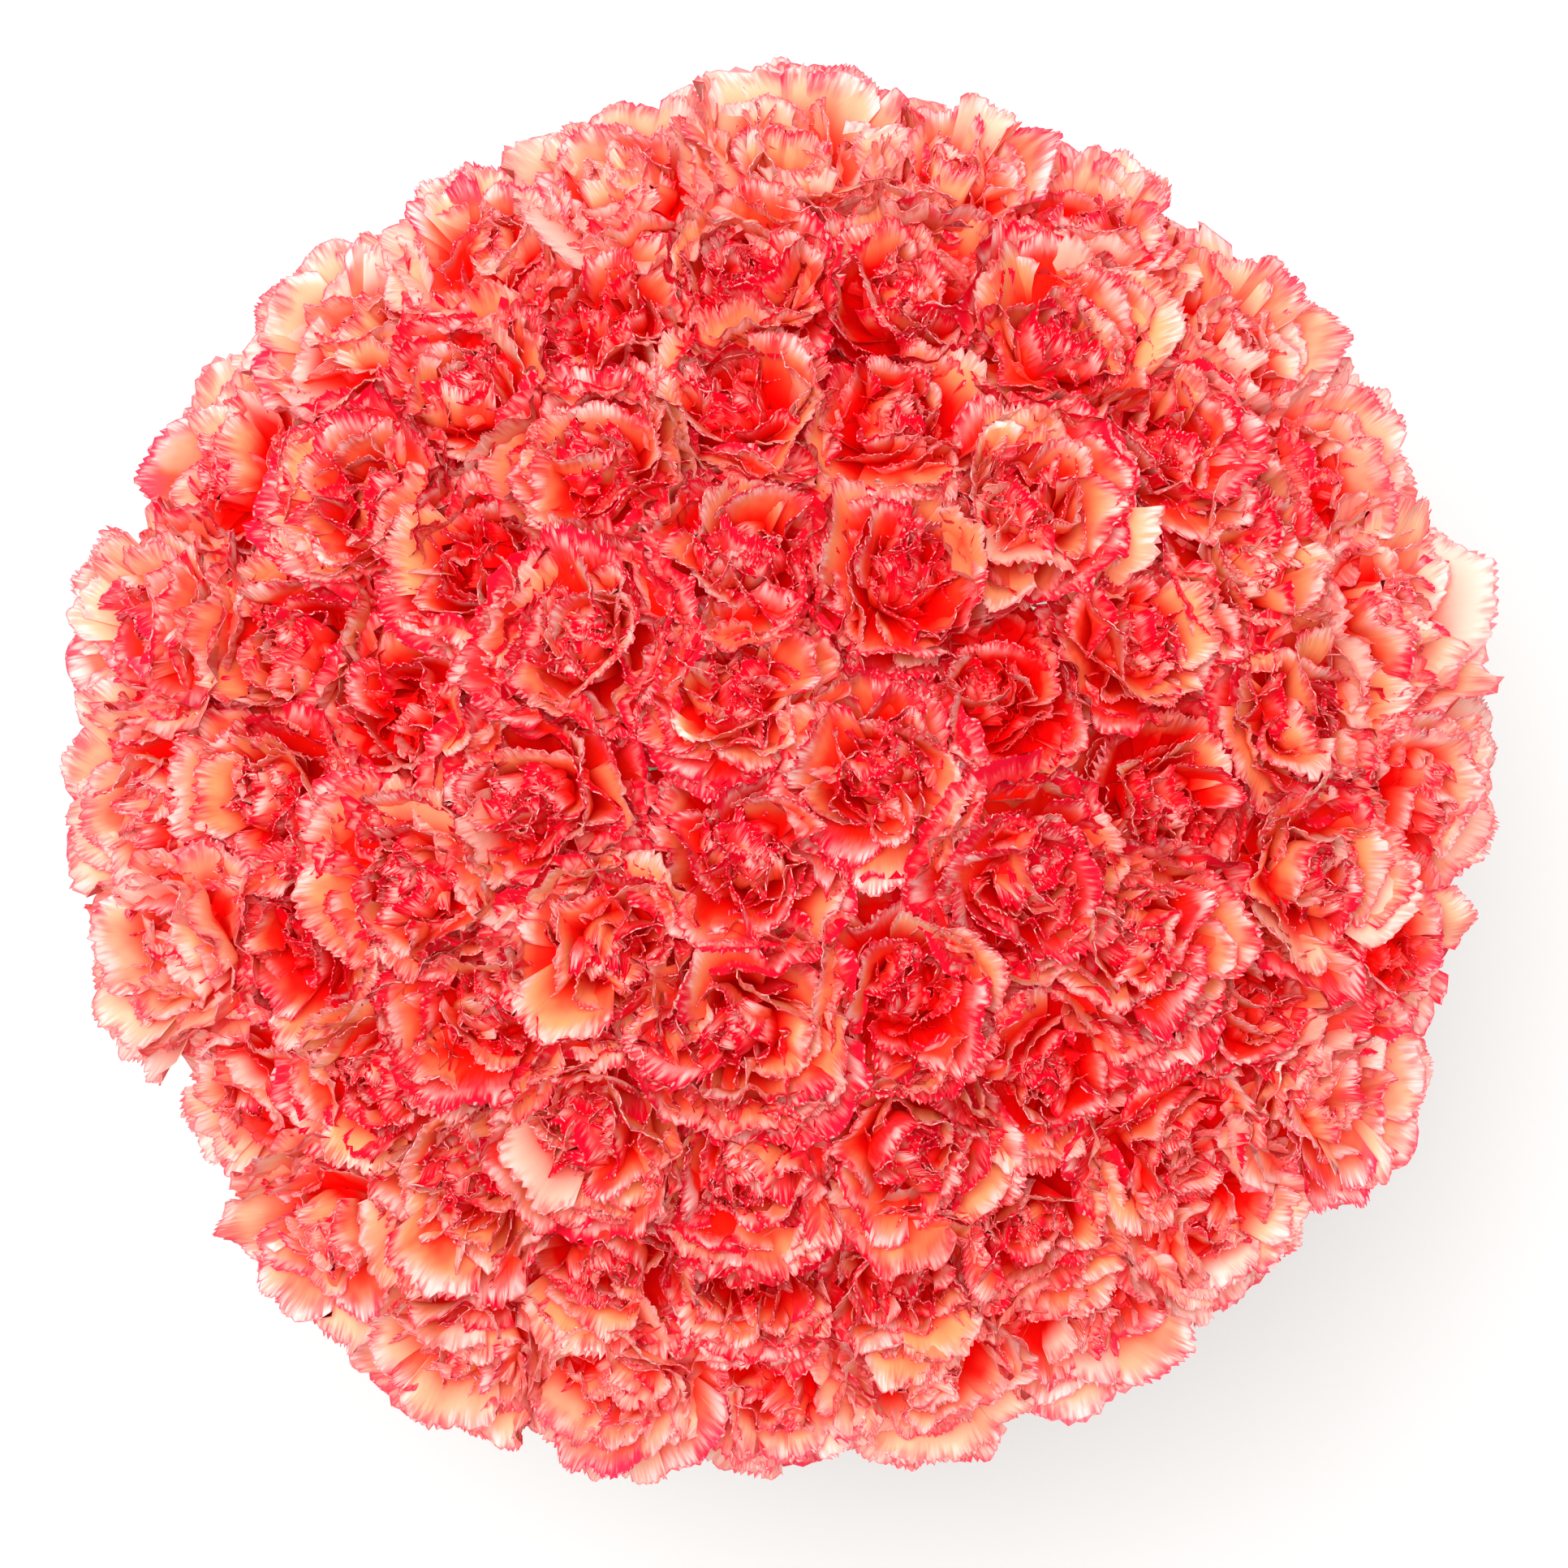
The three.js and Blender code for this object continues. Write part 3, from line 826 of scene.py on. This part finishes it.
draw = np.random.default_rng(11)
heads = {}
for item in flowers:
    heads.setdefault((item.ring, item.group), []).append(set_head(item, draw))
for pattern in INNER_HEADS + RIM_HEADS:
    bpy.data.objects.remove(pattern)
head_groups = {}
for (ring, group), pieces in heads.items():
    head_groups[ring, group] = joined(pieces, f"heads_ring{ring + 1}_{group + 1}")
print(f"{len(head_groups)} groups of heads, {sum(map(triangles, head_groups.values()))} triangles")

# %% [markdown]
# ### What the heads belong to
#
# Nothing in a bunch moves on its own, so every piece rides on the one body, the root. Each group of
# three heads takes the place of a plain solid of the measured model.

# %% Name what the heads ride on and stand for
for (ring, group), piece in head_groups.items():
    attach(piece, "root")
    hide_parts(f"blooms_ring{ring + 1}_{group + 1}")
print("Heads stand for", len(head_groups), "solids")

# %% [markdown]
# ## Waxy green
#
# Stems, green cups and leaves are covered by a thin grey wax, and where fingers rubbed it off the
# darker green shows. The same effect serves all of them, so it is one node group. It gives only a
# colour, a roughness and a height; the shader itself stays in each material. The mottling reads the
# place on the object, the fine streaks read the piece's own map, so that they follow a bent stem.


# %% Waxy green, as one node group, and its three finishes
WAXY_GREEN, given, result = new_group(
    "waxy green",
    [
        ("Place", "Vector"),
        ("Map", "Vector"),
        ("Green", "Color"),
        ("Wax", "Color"),
        ("Wax amount", "Float"),
    ],
    [("Colour", "Color"), ("Roughness", "Float"), ("Height", "Float")],
)
mottle = noise(WAXY_GREEN, given.outputs["Place"], 70.0, 4.0, 0.6)
drawn_out = {0: given.outputs["Map"], 1: (26.0, 5.0, 1.0)}
streak_place = node(WAXY_GREEN, "ShaderNodeVectorMath", drawn_out, operation="MULTIPLY")
streaks = noise(WAXY_GREEN, streak_place.outputs[0], 1.0, 3.0)
wax_cover = ramp(WAXY_GREEN, mottle, 0.34, 0.62, 0.25, 1.0)
wax_share = maths(WAXY_GREEN, "MULTIPLY", wax_cover, given.outputs["Wax amount"])
waxed = mix(WAXY_GREEN, wax_share, given.outputs["Green"], given.outputs["Wax"])
waxed = mix(WAXY_GREEN, ramp(WAXY_GREEN, streaks, 0.50, 0.30, 0.0, 0.35), waxed, given.outputs["Green"])
WAXY_GREEN.links.new(waxed, result.inputs["Colour"])
WAXY_GREEN.links.new(ramp(WAXY_GREEN, wax_share, 0.0, 1.0, 0.38, 0.66), result.inputs["Roughness"])
WAXY_GREEN.links.new(streaks, result.inputs["Height"])


def green_material(name, green, wax, wax_amount):
    """A waxy green finish."""
    material, tree, shader = new_material(name)
    place = node(tree, "ShaderNodeTexCoord")
    own_map = node(tree, "ShaderNodeUVMap", uv_map="UVMap")
    skin = node(tree, "ShaderNodeGroup", node_tree=WAXY_GREEN)
    tree.links.new(place.outputs["Object"], skin.inputs["Place"])
    tree.links.new(own_map.outputs[0], skin.inputs["Map"])
    skin.inputs["Green"].default_value = green
    skin.inputs["Wax"].default_value = wax
    skin.inputs["Wax amount"].default_value = wax_amount
    colour, roughness, ribs = skin.outputs[:3]
    link_surface(tree, shader, colour, roughness, ribs, 0.3, 0.3 * MM)
    shader.inputs["Specular IOR Level"].default_value = 0.35
    return material


stem_skin = green_material("stem skin", srgb(112, 144, 70), srgb(166, 188, 134), 0.85)
cup_skin = green_material("green cup skin", srgb(118, 152, 82), srgb(168, 192, 144), 0.85)
leaf_skin = green_material("leaf skin", srgb(110, 140, 96), srgb(164, 186, 160), 0.9)
print(f"Waxy green: {len(WAXY_GREEN.nodes)} nodes")

# %% [markdown]
# ## The green cups
#
# The petals of each flower stand in a green tube with five teeth at its mouth, the calyx. Four small
# scales clasp its foot. One is modelled as an open cylinder: its long edges are cut into rings, the
# rings get the width of the real tube, and every fourth corner of the last ring is drawn up to a
# tooth. It is open because its mouth is full of petals, and Solidify gives its wall a thickness.


# %% Model the tube of one green cup
CUP_SIDES = 20
CUP_CUTS = 6
CUP_WALL = 0.6 * MM
TOOTH_LENGTH = 6 * MM
CUP_HEIGHTS = [0, 0.10, 0.30, 0.60, 0.90, 1.0]
CUP_RADII = [2.7, 4.3, 5.2, 5.9, 6.6, 7.0]


def cup_radius(height):
    """The radius of the green tube at these heights."""
    return np.interp(height / CALYX_LENGTH, CUP_HEIGHTS, CUP_RADII) * MM


bpy.ops.mesh.primitive_cylinder_add(vertices=CUP_SIDES, radius=1, depth=2, end_fill_type="NOTHING")
cup_tube = bpy.context.object
bpy.ops.object.mode_set(mode="EDIT")
for cut in range(1, CUP_CUTS + 1):
    bpy.ops.mesh.select_all(action="SELECT")
    bpy.ops.mesh.bisect(plane_co=(0, 0, 2 * cut / (CUP_CUTS + 1) - 1), plane_no=(0, 0, 1))
bpy.ops.object.mode_set(mode="OBJECT")
rows = corners(cup_tube)
angle = np.arctan2(rows[:, 1], rows[:, 0])
top_share = (rows[:, 2] + 1) / 2
between_teeth = np.abs((angle * 5 / math.tau) % 1 - 0.5) * 2
height = top_share * CALYX_LENGTH - between_teeth * TOOTH_LENGTH * soft_step(0.75, 1.0, top_share)
radius = cup_radius(height) * (1 + 0.04 * np.cos(5 * angle))
move_corners(cup_tube, np.stack([radius * np.cos(angle), radius * np.sin(angle), height], axis=1))
apply_modifier(cup_tube, "SOLIDIFY", thickness=CUP_WALL, offset=-1, use_rim=True)
print(f"The tube: {triangles(cup_tube)} triangles")

# %% [markdown]
# ### The scales
#
# The four scales at the foot are short and broad, overlap like roof tiles, and end in a point that
# stands off a little. Each is a flat grid narrowed to a point and rolled onto the tube.

# %% Add four scales to the green cup
SCALE_LENGTH = 9 * MM
SCALE_WIDTH = 6.5 * MM
bpy.ops.mesh.primitive_grid_add(x_subdivisions=4, y_subdivisions=4, size=2)
scale_blank = bpy.context.object
flat = corners(scale_blank)
along = (flat[:, 1] + 1) / 2
half_width = SCALE_WIDTH / 2 * np.cos(along * math.pi / 2) ** 0.7 * (0.75 + 0.5 * along)
scales = []
for i in range(4):
    scale = copy_of(scale_blank, "scale")
    height = along * SCALE_LENGTH - 1 * MM
    radius = cup_radius(height) + (0.5 + 0.3 * (i % 2)) * MM + 0.9 * MM * along**4
    angle = math.tau * i / 4 + flat[:, 0] * half_width / radius
    move_corners(scale, np.stack([radius * np.cos(angle), radius * np.sin(angle), height], axis=1))
    apply_modifier(scale, "SOLIDIFY", thickness=0.4 * MM, offset=1, use_rim=True)
    scales.append(scale)
bpy.data.objects.remove(scale_blank)
one_cup = joined([cup_tube, *scales], "green cup")
one_cup.data.materials.append(cup_skin)
bpy.ops.object.shade_smooth_by_angle(angle=math.radians(40))
print(f"One green cup: {triangles(one_cup)} triangles")

# %% [markdown]
# ### A green cup under every head
#
# Each copy is turned by chance about its own axis, so that teeth and scales never line up, and then
# put where the flower's rule says. All cups of a ring become one piece.

# %% Put a green cup under every head
cups = {}
for item in flowers:
    cup = copy_of(one_cup, f"green_cup_{item.ring + 1}_{item.place + 1}")
    spin = Matrix.Rotation(draw.uniform(0, math.tau), 4, "Z")
    move_corners(cup, placed_rows(corners(cup), item.calyx @ spin))
    cups.setdefault(item.ring, []).append(cup)
bpy.data.objects.remove(one_cup)
cup_rings = [joined(pieces, f"green_cups_ring{ring + 1}") for ring, pieces in cups.items()]
print(f"{len(cup_rings)} rings of green cups")

# %% [markdown]
# ## The stems
#
# A carnation stem is straight between swollen joints, about every sixty millimetres, where leaves
# grew. One stem is modelled upright as a cylinder, cut into rings close together at each joint, and
# swollen there. A copy is then laid along the line of each flower: from its green cup down through
# the tie and out to the floor. Last, a bisect cuts it level with the floor and fills the end, which
# shows the pale pith.

# %% Model one straight stem
STEM_SIDES = 8
STEM_LENGTH = 540 * MM
JOINTS = 9

bpy.ops.mesh.primitive_cylinder_add(
    vertices=STEM_SIDES, radius=STEM_RADIUS, depth=STEM_LENGTH, location=(0, 0, STEM_LENGTH / 2)
)
bpy.ops.object.transform_apply(location=True)
one_stem = bpy.context.object
joints = STEM_LENGTH * np.arange(1, JOINTS) / JOINTS
ring_places = [joint + step * MM for joint in joints for step in (-32, -18, -4, -1.5, 1.5, 4, 14)]
bpy.ops.object.mode_set(mode="EDIT")
for place in ring_places:
    bpy.ops.mesh.select_all(action="SELECT")
    bpy.ops.mesh.bisect(plane_co=(0, 0, place), plane_no=(0, 0, 1))
bpy.ops.object.mode_set(mode="OBJECT")
stem_rows = corners(one_stem)
from_joint = np.abs(stem_rows[:, 2:] - joints).min(axis=1)
swollen = 1 + 0.42 * np.exp(-((from_joint / (2.6 * MM)) ** 2))
taper = 0.84 + 0.16 * stem_rows[:, 2] / STEM_LENGTH
stem_rows[:, :2] *= (swollen * taper)[:, None]
move_corners(one_stem, stem_rows)
one_stem.data.materials.append(stem_skin)
print(f"One stem: {len(joints)} joints, {triangles(one_stem)} triangles")

# %% [markdown]
# ### Laid along a line
#
# A stem leaves its green cup along the flower's axis and then bends smoothly until it passes the tie
# at the lean of its ring. That is a curve with two ends and two handles, the same as you would draw
# with a Bezier curve. The upright stem is laid along it corner by corner: its height says how far
# along the line, and its sides stay square to it. Real stems are never quite straight, so each also
# wobbles by a millimetre or two.

# %% Lines for stems
WOBBLE = 1.6 * MM


def stem_line(item):
    """Points from the top of a stem to just under the floor."""
    share = np.linspace(0, 1, 33)[:, None]
    handles = [np.array(point) for point in (item.top, item.top_handle, item.waist_handle, item.waist)]
    weights = [(1 - share) ** 3, 3 * (1 - share) ** 2 * share, 3 * (1 - share) * share**2, share**3]
    upper = sum(weight * handle for weight, handle in zip(weights, handles))
    return np.vstack([upper, np.array(item.foot)])


def distances(line):
    """How far each point of a line is from its first, measured along it."""
    return np.concatenate([[0], np.cumsum(np.linalg.norm(np.diff(line, axis=0), axis=1))])


def line_frames(line, places):
    """Point, side and direction of a line at these distances."""
    along = distances(line)
    ahead = np.gradient(line, along, axis=0)
    point = np.stack([np.interp(places, along, line[:, axis]) for axis in range(3)], axis=1)
    ahead = np.stack([np.interp(places, along, ahead[:, axis]) for axis in range(3)], axis=1)
    ahead /= np.linalg.norm(ahead, axis=1)[:, None]
    side = np.array((1.0, 0.0, 0.0)) - ahead * ahead[:, :1]
    side /= np.linalg.norm(side, axis=1)[:, None]
    return point, side, ahead


def laid_along(rows, line):
    """Rows of a piece that stands along Z, laid along a line."""
    point, side, ahead = line_frames(line, rows[:, 2])
    return point + side * rows[:, :1] + np.cross(ahead, side) * rows[:, 1:2]


longest = max(distances(stem_line(item))[-1] for item in flowers)
print(f"The longest stem is {longest:.3f} m before it is cut")

# %% [markdown]
# Seventy-two copies of the upright stem now follow their lines. Each line ends a little under the
# floor, and a bisect at floor height takes off what is too long, as a florist does with one cut.


# %% Lay a copy along the line of each flower
def cut_at_floor(piece):
    """Cuts a stem level with the floor and closes its end with pith."""
    select_only(piece)
    bpy.ops.object.mode_set(mode="EDIT")
    bpy.ops.mesh.select_all(action="SELECT")
    bpy.ops.mesh.bisect(plane_co=(0, 0, 0), plane_no=(0, 0, 1), use_fill=True, clear_inner=True)
    bpy.ops.object.mode_set(mode="OBJECT")


stalks = {}
for item in flowers:
    stalk = copy_of(one_stem, f"stalk_{item.ring + 1}_{item.place + 1}")
    line = stem_line(item)
    rows = corners(stalk)
    rows[:, 2] *= distances(line)[-1] / STEM_LENGTH
    to_waist = np.clip(rows[:, 2] / distances(line)[-2], 0, 1)
    wobble = WOBBLE * np.sin(to_waist * math.pi) ** 2
    swing = draw.uniform(0, math.tau, 2)
    rows[:, 0] += wobble * np.sin(9 * to_waist + swing[0])
    rows[:, 1] += wobble * np.sin(9 * to_waist + swing[1])
    move_corners(stalk, laid_along(rows, line))
    cut_at_floor(stalk)
    stalks.setdefault(item.ring, []).append(stalk)
bpy.data.objects.remove(one_stem)
stalk_rings = [joined(pieces, f"stalks_ring{ring + 1}") for ring, pieces in stalks.items()]
lowest_corner = min(corners(piece)[:, 2].min() for piece in stalk_rings)
print(f"{len(flowers)} stems, cut at {lowest_corner:.4f} m")

# %% [markdown]
# ### The cut ends
#
# Inside its green skin a stem is pale, moist pith. Only the faces that close the cut ends get it, and
# they are easy to find: they are the only ones that lie on the floor.

# %% Paint the cut ends
pith, pith_tree, pith_shader = new_material("stem pith")
pith_place = node(pith_tree, "ShaderNodeTexCoord")
pores = noise(pith_tree, pith_place.outputs["Object"], 900.0, 3.0)
pith_colour = mix(pith_tree, pores, srgb(176, 190, 132), srgb(226, 226, 190))
pith_roughness = ramp(pith_tree, pores, 0.3, 0.7, 0.6, 0.9)
link_surface(pith_tree, pith_shader, pith_colour, pith_roughness, pores, 0.4, 0.3 * MM)
for piece in stalk_rings:
    piece.data.materials.append(pith)
    for face in piece.data.polygons:
        if face.center.z < 0.01 * MM:
            face.material_index = 1
    select_only(piece)
    bpy.ops.object.shade_smooth_by_angle(angle=math.radians(50))
print(f"{len(stalk_rings)} rings of stems, {sum(map(triangles, stalk_rings))} triangles")

# %% [markdown]
# ## The leaves
#
# Carnation leaves are narrow, stiff and grooved, and stand in pairs on a joint, their feet joined in
# a short sheath round the stem. Florists strip the lower ones, so the pairs left here are all above
# the tie. The blade is one flat grid again: narrowed to a point, folded along its middle, leaning out
# from the stem and curling over towards the tip.

# %% Model leaf pairs
LEAF_TURN = math.radians(42)
LEAF_WIDTH = 7 * MM
LEAF_THICKNESS = 0.5 * MM
SHEATH_RADIUS = 3.5 * MM
SHEATH_HEIGHT = 7 * MM


def leaf_rows(flat, length, bend, draw):
    """The corners of one blade that grows up from the origin and leans to +X."""
    across = flat[:, 0]
    along = (flat[:, 1] + 1) / 2
    half_width = LEAF_WIDTH / 2 * draw.uniform(0.85, 1.15) * np.maximum(1 - along**2.4, 0.03)
    lean = math.radians(20) + math.radians(bend) * along + math.radians(draw.uniform(0, 55)) * along**4
    steps = np.linspace(0, 1, 40)
    lean_steps = np.interp(steps, np.sort(along), lean[np.argsort(along)])
    out = np.interp(along, steps, np.cumsum(np.sin(lean_steps)) / 40) * length
    up = np.interp(along, steps, np.cumsum(np.cos(lean_steps)) / 40) * length
    fold = 0.45 * np.abs(across) * half_width
    sway = 2.5 * MM * draw.normal() * along**2
    sideways = across * half_width + sway
    return np.stack([out - fold * np.cos(lean), sideways, up + fold * np.sin(lean)], axis=1)


def leaf_pair(name, item, share, lengths, draw):
    """Two leaves in a sheath, on a stem at this share of its length from the top."""
    line = stem_line(item)
    point, side, ahead = (Vector(rows[0]) for rows in line_frames(line, [share * distances(line)[-1]]))
    axis = -ahead
    outwards = Vector((point.x, point.y, 0)).normalized()
    front = (outwards - axis * outwards.dot(axis)).normalized()
    on_stem = Matrix((front, axis.cross(front), axis)).transposed().to_4x4()
    on_stem.translation = point
    select_only()
    bpy.ops.mesh.primitive_cylinder_add(vertices=10, radius=1, depth=2, end_fill_type="NOTHING")
    sheath = bpy.context.object
    rows = corners(sheath)
    width = SHEATH_RADIUS * (1 - 0.12 * (rows[:, 2] < 0))
    rows = np.stack([rows[:, 0] * width, rows[:, 1] * width, rows[:, 2] * SHEATH_HEIGHT / 2], axis=1)
    move_corners(sheath, placed_rows(rows, on_stem))
    pieces = [sheath]
    for turn, length in zip((-LEAF_TURN, LEAF_TURN), lengths):
        select_only()
        bpy.ops.mesh.primitive_grid_add(x_subdivisions=4, y_subdivisions=12, size=2)
        blade = bpy.context.object
        rows = leaf_rows(corners(blade), length, draw.uniform(15, 45), draw)
        rows[:, 0] += SHEATH_RADIUS - 0.3 * MM
        rows[:, 2] -= 1 * MM
        spin = Matrix.Rotation(turn + draw.uniform(-0.2, 0.2), 4, "Z")
        move_corners(blade, placed_rows(rows, on_stem @ spin))
        pieces.append(blade)
    pair = joined(pieces, name)
    pair.data.materials.append(leaf_skin)
    apply_modifier(pair, "SOLIDIFY", thickness=LEAF_THICKNESS, offset=0, use_rim=True)
    bpy.ops.object.shade_smooth_by_angle(angle=math.radians(50))
    return pair


# %% [markdown]
# ### Leaves on the outer stems
#
# Leaves are seen only round the outside of the bunch, so only outer stems carry them: every stem of
# the outermost ring and every second one of the ring inside it. A joint is where a stem is swollen,
# and the pairs sit on the second or third joint from the top.

# %% Grow leaves on the outer stems
PAIR_SHARE = 3 / JOINTS
HIGH_SHARE = 2 / JOINTS
rim_flowers = [item for item in flowers if item.ring == RIM]
first_pairs = [item for item in rim_flowers if item.place % GROUP_SIZE == 1]
leaf_pairs = [
    leaf_pair(f"leaves_{item.group + 1}", item, PAIR_SHARE, draw.uniform(64, 80, 2) * MM, draw)
    for item in first_pairs
]
other_stems = [item for item in rim_flowers if item.place % GROUP_SIZE != 1]
other_stems += [item for item in flowers if item.ring == RIM - 1 and item.place % 2]
more_pairs = [
    leaf_pair(f"more_leaves_{i + 1}", item, HIGH_SHARE, draw.uniform(52, 84, 2) * MM, draw)
    for i, item in enumerate(other_stems)
]
more_leaves = joined(more_pairs, "more_leaves")
print(f"{len(leaf_pairs)} + {len(more_pairs)} leaf pairs")

# %% [markdown]
# ## The tie
#
# A strand of raffia, a dry palm fibre, is wound five times round the waist and knotted. It is a
# ribbon, so a flat grid serves again, laid along a winding line with its face outwards. The knot is a
# squashed ball with the two ends of the strand coming out of it.

# %% Raffia
raffia, raffia_tree, raffia_shader = new_material("raffia")
raffia_map = node(raffia_tree, "ShaderNodeUVMap", uv_map="UVMap")
drawn_out = {0: raffia_map.outputs[0], 1: (14.0, 60.0, 1.0)}
fibre_place = node(raffia_tree, "ShaderNodeVectorMath", drawn_out, operation="MULTIPLY")
fibres = noise(raffia_tree, fibre_place.outputs[0], 1.0, 4.0, 0.65)
light_fibres = ramp(raffia_tree, fibres, 0.32, 0.64)
raffia_colour = mix(raffia_tree, light_fibres, srgb(168, 132, 82), srgb(226, 202, 154))
raffia_roughness = ramp(raffia_tree, fibres, 0.3, 0.7, 0.8, 0.5)
link_surface(raffia_tree, raffia_shader, raffia_colour, raffia_roughness, fibres, 0.5, 0.3 * MM)
print(f"Raffia: {len(raffia_tree.nodes)} nodes")

# %% [markdown]
# ### The strand
#
# The strand is wound over the measured band. Its line goes round and round, while slow waves move it
# up, down and a little out, so that the turns cross and lie over each other as wound turns do.

# %% Wind the strand round the waist
TURNS = 5
STRAND_WIDTH = 3.4 * MM
STRAND_THICKNESS = 0.7 * MM
TIE_RADIUS = 30.1 * MM
TIE_HALF = 4.6 * MM


def ribbon(name, line, outwards, steps, twist=0.0):
    """A strand along a line of points, its face to these outward directions."""
    select_only()
    bpy.ops.mesh.primitive_grid_add(x_subdivisions=4, y_subdivisions=steps, size=2)
    strand = bpy.context.object
    strand.name = name
    flat = corners(strand)
    places = (flat[:, 1] + 1) / 2 * distances(line)[-1]
    point, side, ahead = line_frames(line, places)
    share = np.linspace(0, distances(line)[-1], len(line))
    facing = np.stack([np.interp(places, share, outwards[:, axis]) for axis in range(3)], axis=1)
    facing /= np.linalg.norm(facing, axis=1)[:, None]
    across = np.cross(ahead, facing)
    turn = twist * (flat[:, 1] + 1) / 2
    reach = flat[:, :1] * STRAND_WIDTH / 2
    crown = (1 - flat[:, :1] ** 2) * 0.5 * MM
    sideways = across * np.cos(turn)[:, None] + facing * np.sin(turn)[:, None]
    move_corners(strand, point + reach * sideways + facing * crown)
    apply_modifier(strand, "SOLIDIFY", thickness=STRAND_THICKNESS, offset=0, use_rim=True)
    return strand


turn_share = np.linspace(0, 1, 241)
winding = math.tau * TURNS * turn_share
wound_radius = TIE_RADIUS + 1.2 * MM * (0.5 + 0.5 * np.sin(2.3 * winding)) * turn_share + 0.3 * MM
wound_height = WAIST_Z + TIE_HALF * np.sin(winding * 0.23 - 1.3) + 0.5 * MM * np.sin(3 * winding)
wound_outwards = np.stack([np.cos(winding), np.sin(winding), 0 * winding], axis=1)
wound_line = wound_outwards * wound_radius[:, None]
wound_line[:, 2] = wound_height
strands = [ribbon("wound strand", wound_line, wound_outwards, 240)]
print(f"{TURNS} turns take {distances(wound_line)[-1]:.2f} m of strand")

# %% [markdown]
# ### The knot
#
# At this size a knot shows as a small lump with a crease across it. A ball squashed in three
# directions is enough, with its crease pushed in, and the two ends hang down from it, half twisted.

# %% Knot the strand
KNOT_RADIUS = TIE_RADIUS + 3.2 * MM
select_only()
bpy.ops.mesh.primitive_uv_sphere_add(segments=20, ring_count=12, radius=1)
knot = bpy.context.object
rows = corners(knot)
crease = 1 - 0.22 * np.exp(-((rows[:, 2:] + 0.6 * rows[:, 1:2]) ** 2) / 0.03)
rows = rows * crease * np.array((3.0, 4.6, 5.4)) * MM
rows[:, 0] += KNOT_RADIUS
rows[:, 2] += WAIST_Z
move_corners(knot, rows)
strands.append(knot)
tail_share = np.linspace(0, 1, 15)
for sideways, drop in ((-1, 46), (1, 34)):
    tail = np.stack([
        KNOT_RADIUS + (1 + 16 * tail_share * (1.3 - tail_share)) * MM,
        sideways * (3 + 22 * tail_share) * MM,
        WAIST_Z - (1 + drop * tail_share**1.4) * MM,
    ], axis=1)
    tail_outwards = np.tile(np.array((1.0, 0.0, 0.35)), (15, 1))
    strands.append(ribbon("tail", tail, tail_outwards, 14, twist=1.6 * sideways))
raffia_tie = joined(strands, "raffia_tie")
raffia_tie.data.materials.append(raffia)
bpy.ops.object.shade_smooth_by_angle(angle=math.radians(50))
print(f"The tie: {triangles(raffia_tie)} triangles")

# %% [markdown]
# ## What the other pieces belong to
#
# These ride on the root too. The stems of a ring take the place of all its stem solids, the measured
# leaf pairs and the band each have one piece of their own, and the green cups and the further leaves
# are new.

# %% Name what the green pieces ride on and stand for
for piece in cup_rings + stalk_rings + leaf_pairs + [more_leaves, raffia_tie]:
    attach(piece, "root")
for ring, piece in enumerate(stalk_rings):
    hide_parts(*[f"stems_ring{ring + 1}_{i + 1}" for i in range(RING_COUNTS[ring] // GROUP_SIZE)])
for item, piece in zip(first_pairs, leaf_pairs):
    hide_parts(f"leaf_pair_{item.group + 1}")
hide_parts("tie")
print("Pieces besides heads:", len(cup_rings + stalk_rings + leaf_pairs) + 2)

# %% [markdown]
# ## The floor
#
# The bunch stands on a plain pale floor. It glows a little, like a table lit from inside, so that the
# shadow of the wide dome stays faint.

# %% Floor
FLOOR_GLOW = 0.16
bpy.ops.mesh.primitive_plane_add(size=30)
floor = bpy.context.object
floor.name = "floor"
floor_material, _, floor_shader = new_material("floor")
floor_shader.inputs["Base Color"].default_value = srgb(244, 244, 244)
floor_shader.inputs["Roughness"].default_value = 0.8
floor_shader.inputs["Emission Color"].default_value = (1.0, 1.0, 1.0, 1.0)
floor_shader.inputs["Emission Strength"].default_value = FLOOR_GLOW
floor.data.materials.append(floor_material)
print("Floor:", floor.dimensions.x, "m wide")

# %% [markdown]
# ## The light
#
# Soft light comes from everywhere, and one large lamp high up, a little behind and to the left, gives
# the petals their shape. A large lamp makes soft shadows.

# %% Light
world = bpy.data.worlds.new("studio")
bpy.context.scene.world = world
world.use_nodes = True
world.node_tree.nodes["Background"].inputs["Color"].default_value = (1.0, 0.99, 0.98, 1.0)
world.node_tree.nodes["Background"].inputs["Strength"].default_value = 0.52
bpy.ops.object.light_add(type="AREA", location=(-0.32, 0.40, 3.0))
key_light = bpy.context.object
key_light.data.size = 1.7
key_light.data.energy = 76
key_light.rotation_euler = (key_light.location - Vector((0, 0, 0.5))).to_track_quat("Z", "Y").to_euler()
print("Lamp:", key_light.data.energy, "W")

# %% [markdown]
# ## The camera
#
# The camera looks straight down from far above, with a long lens, and the dome almost fills the
# picture. Colours are shown as they are, without a film look, because the coral must stay bright.
# Light may bounce three times between petals, which is enough for red shadows.

# %% Camera
CAMERA_HEIGHT = 2.2
bpy.ops.object.camera_add(location=(0, 0, CAMERA_HEIGHT))
camera = bpy.context.object
camera.data.sensor_width = 36
camera.data.lens = 109.1
camera.data.clip_end = 20
bpy.context.scene.camera = camera
bpy.context.scene.view_settings.view_transform = "Standard"
bpy.context.scene.cycles.max_bounces = 4
bpy.context.scene.cycles.diffuse_bounces = 3
print(f"Camera {CAMERA_HEIGHT} m up, lens {camera.data.lens:.1f} mm")
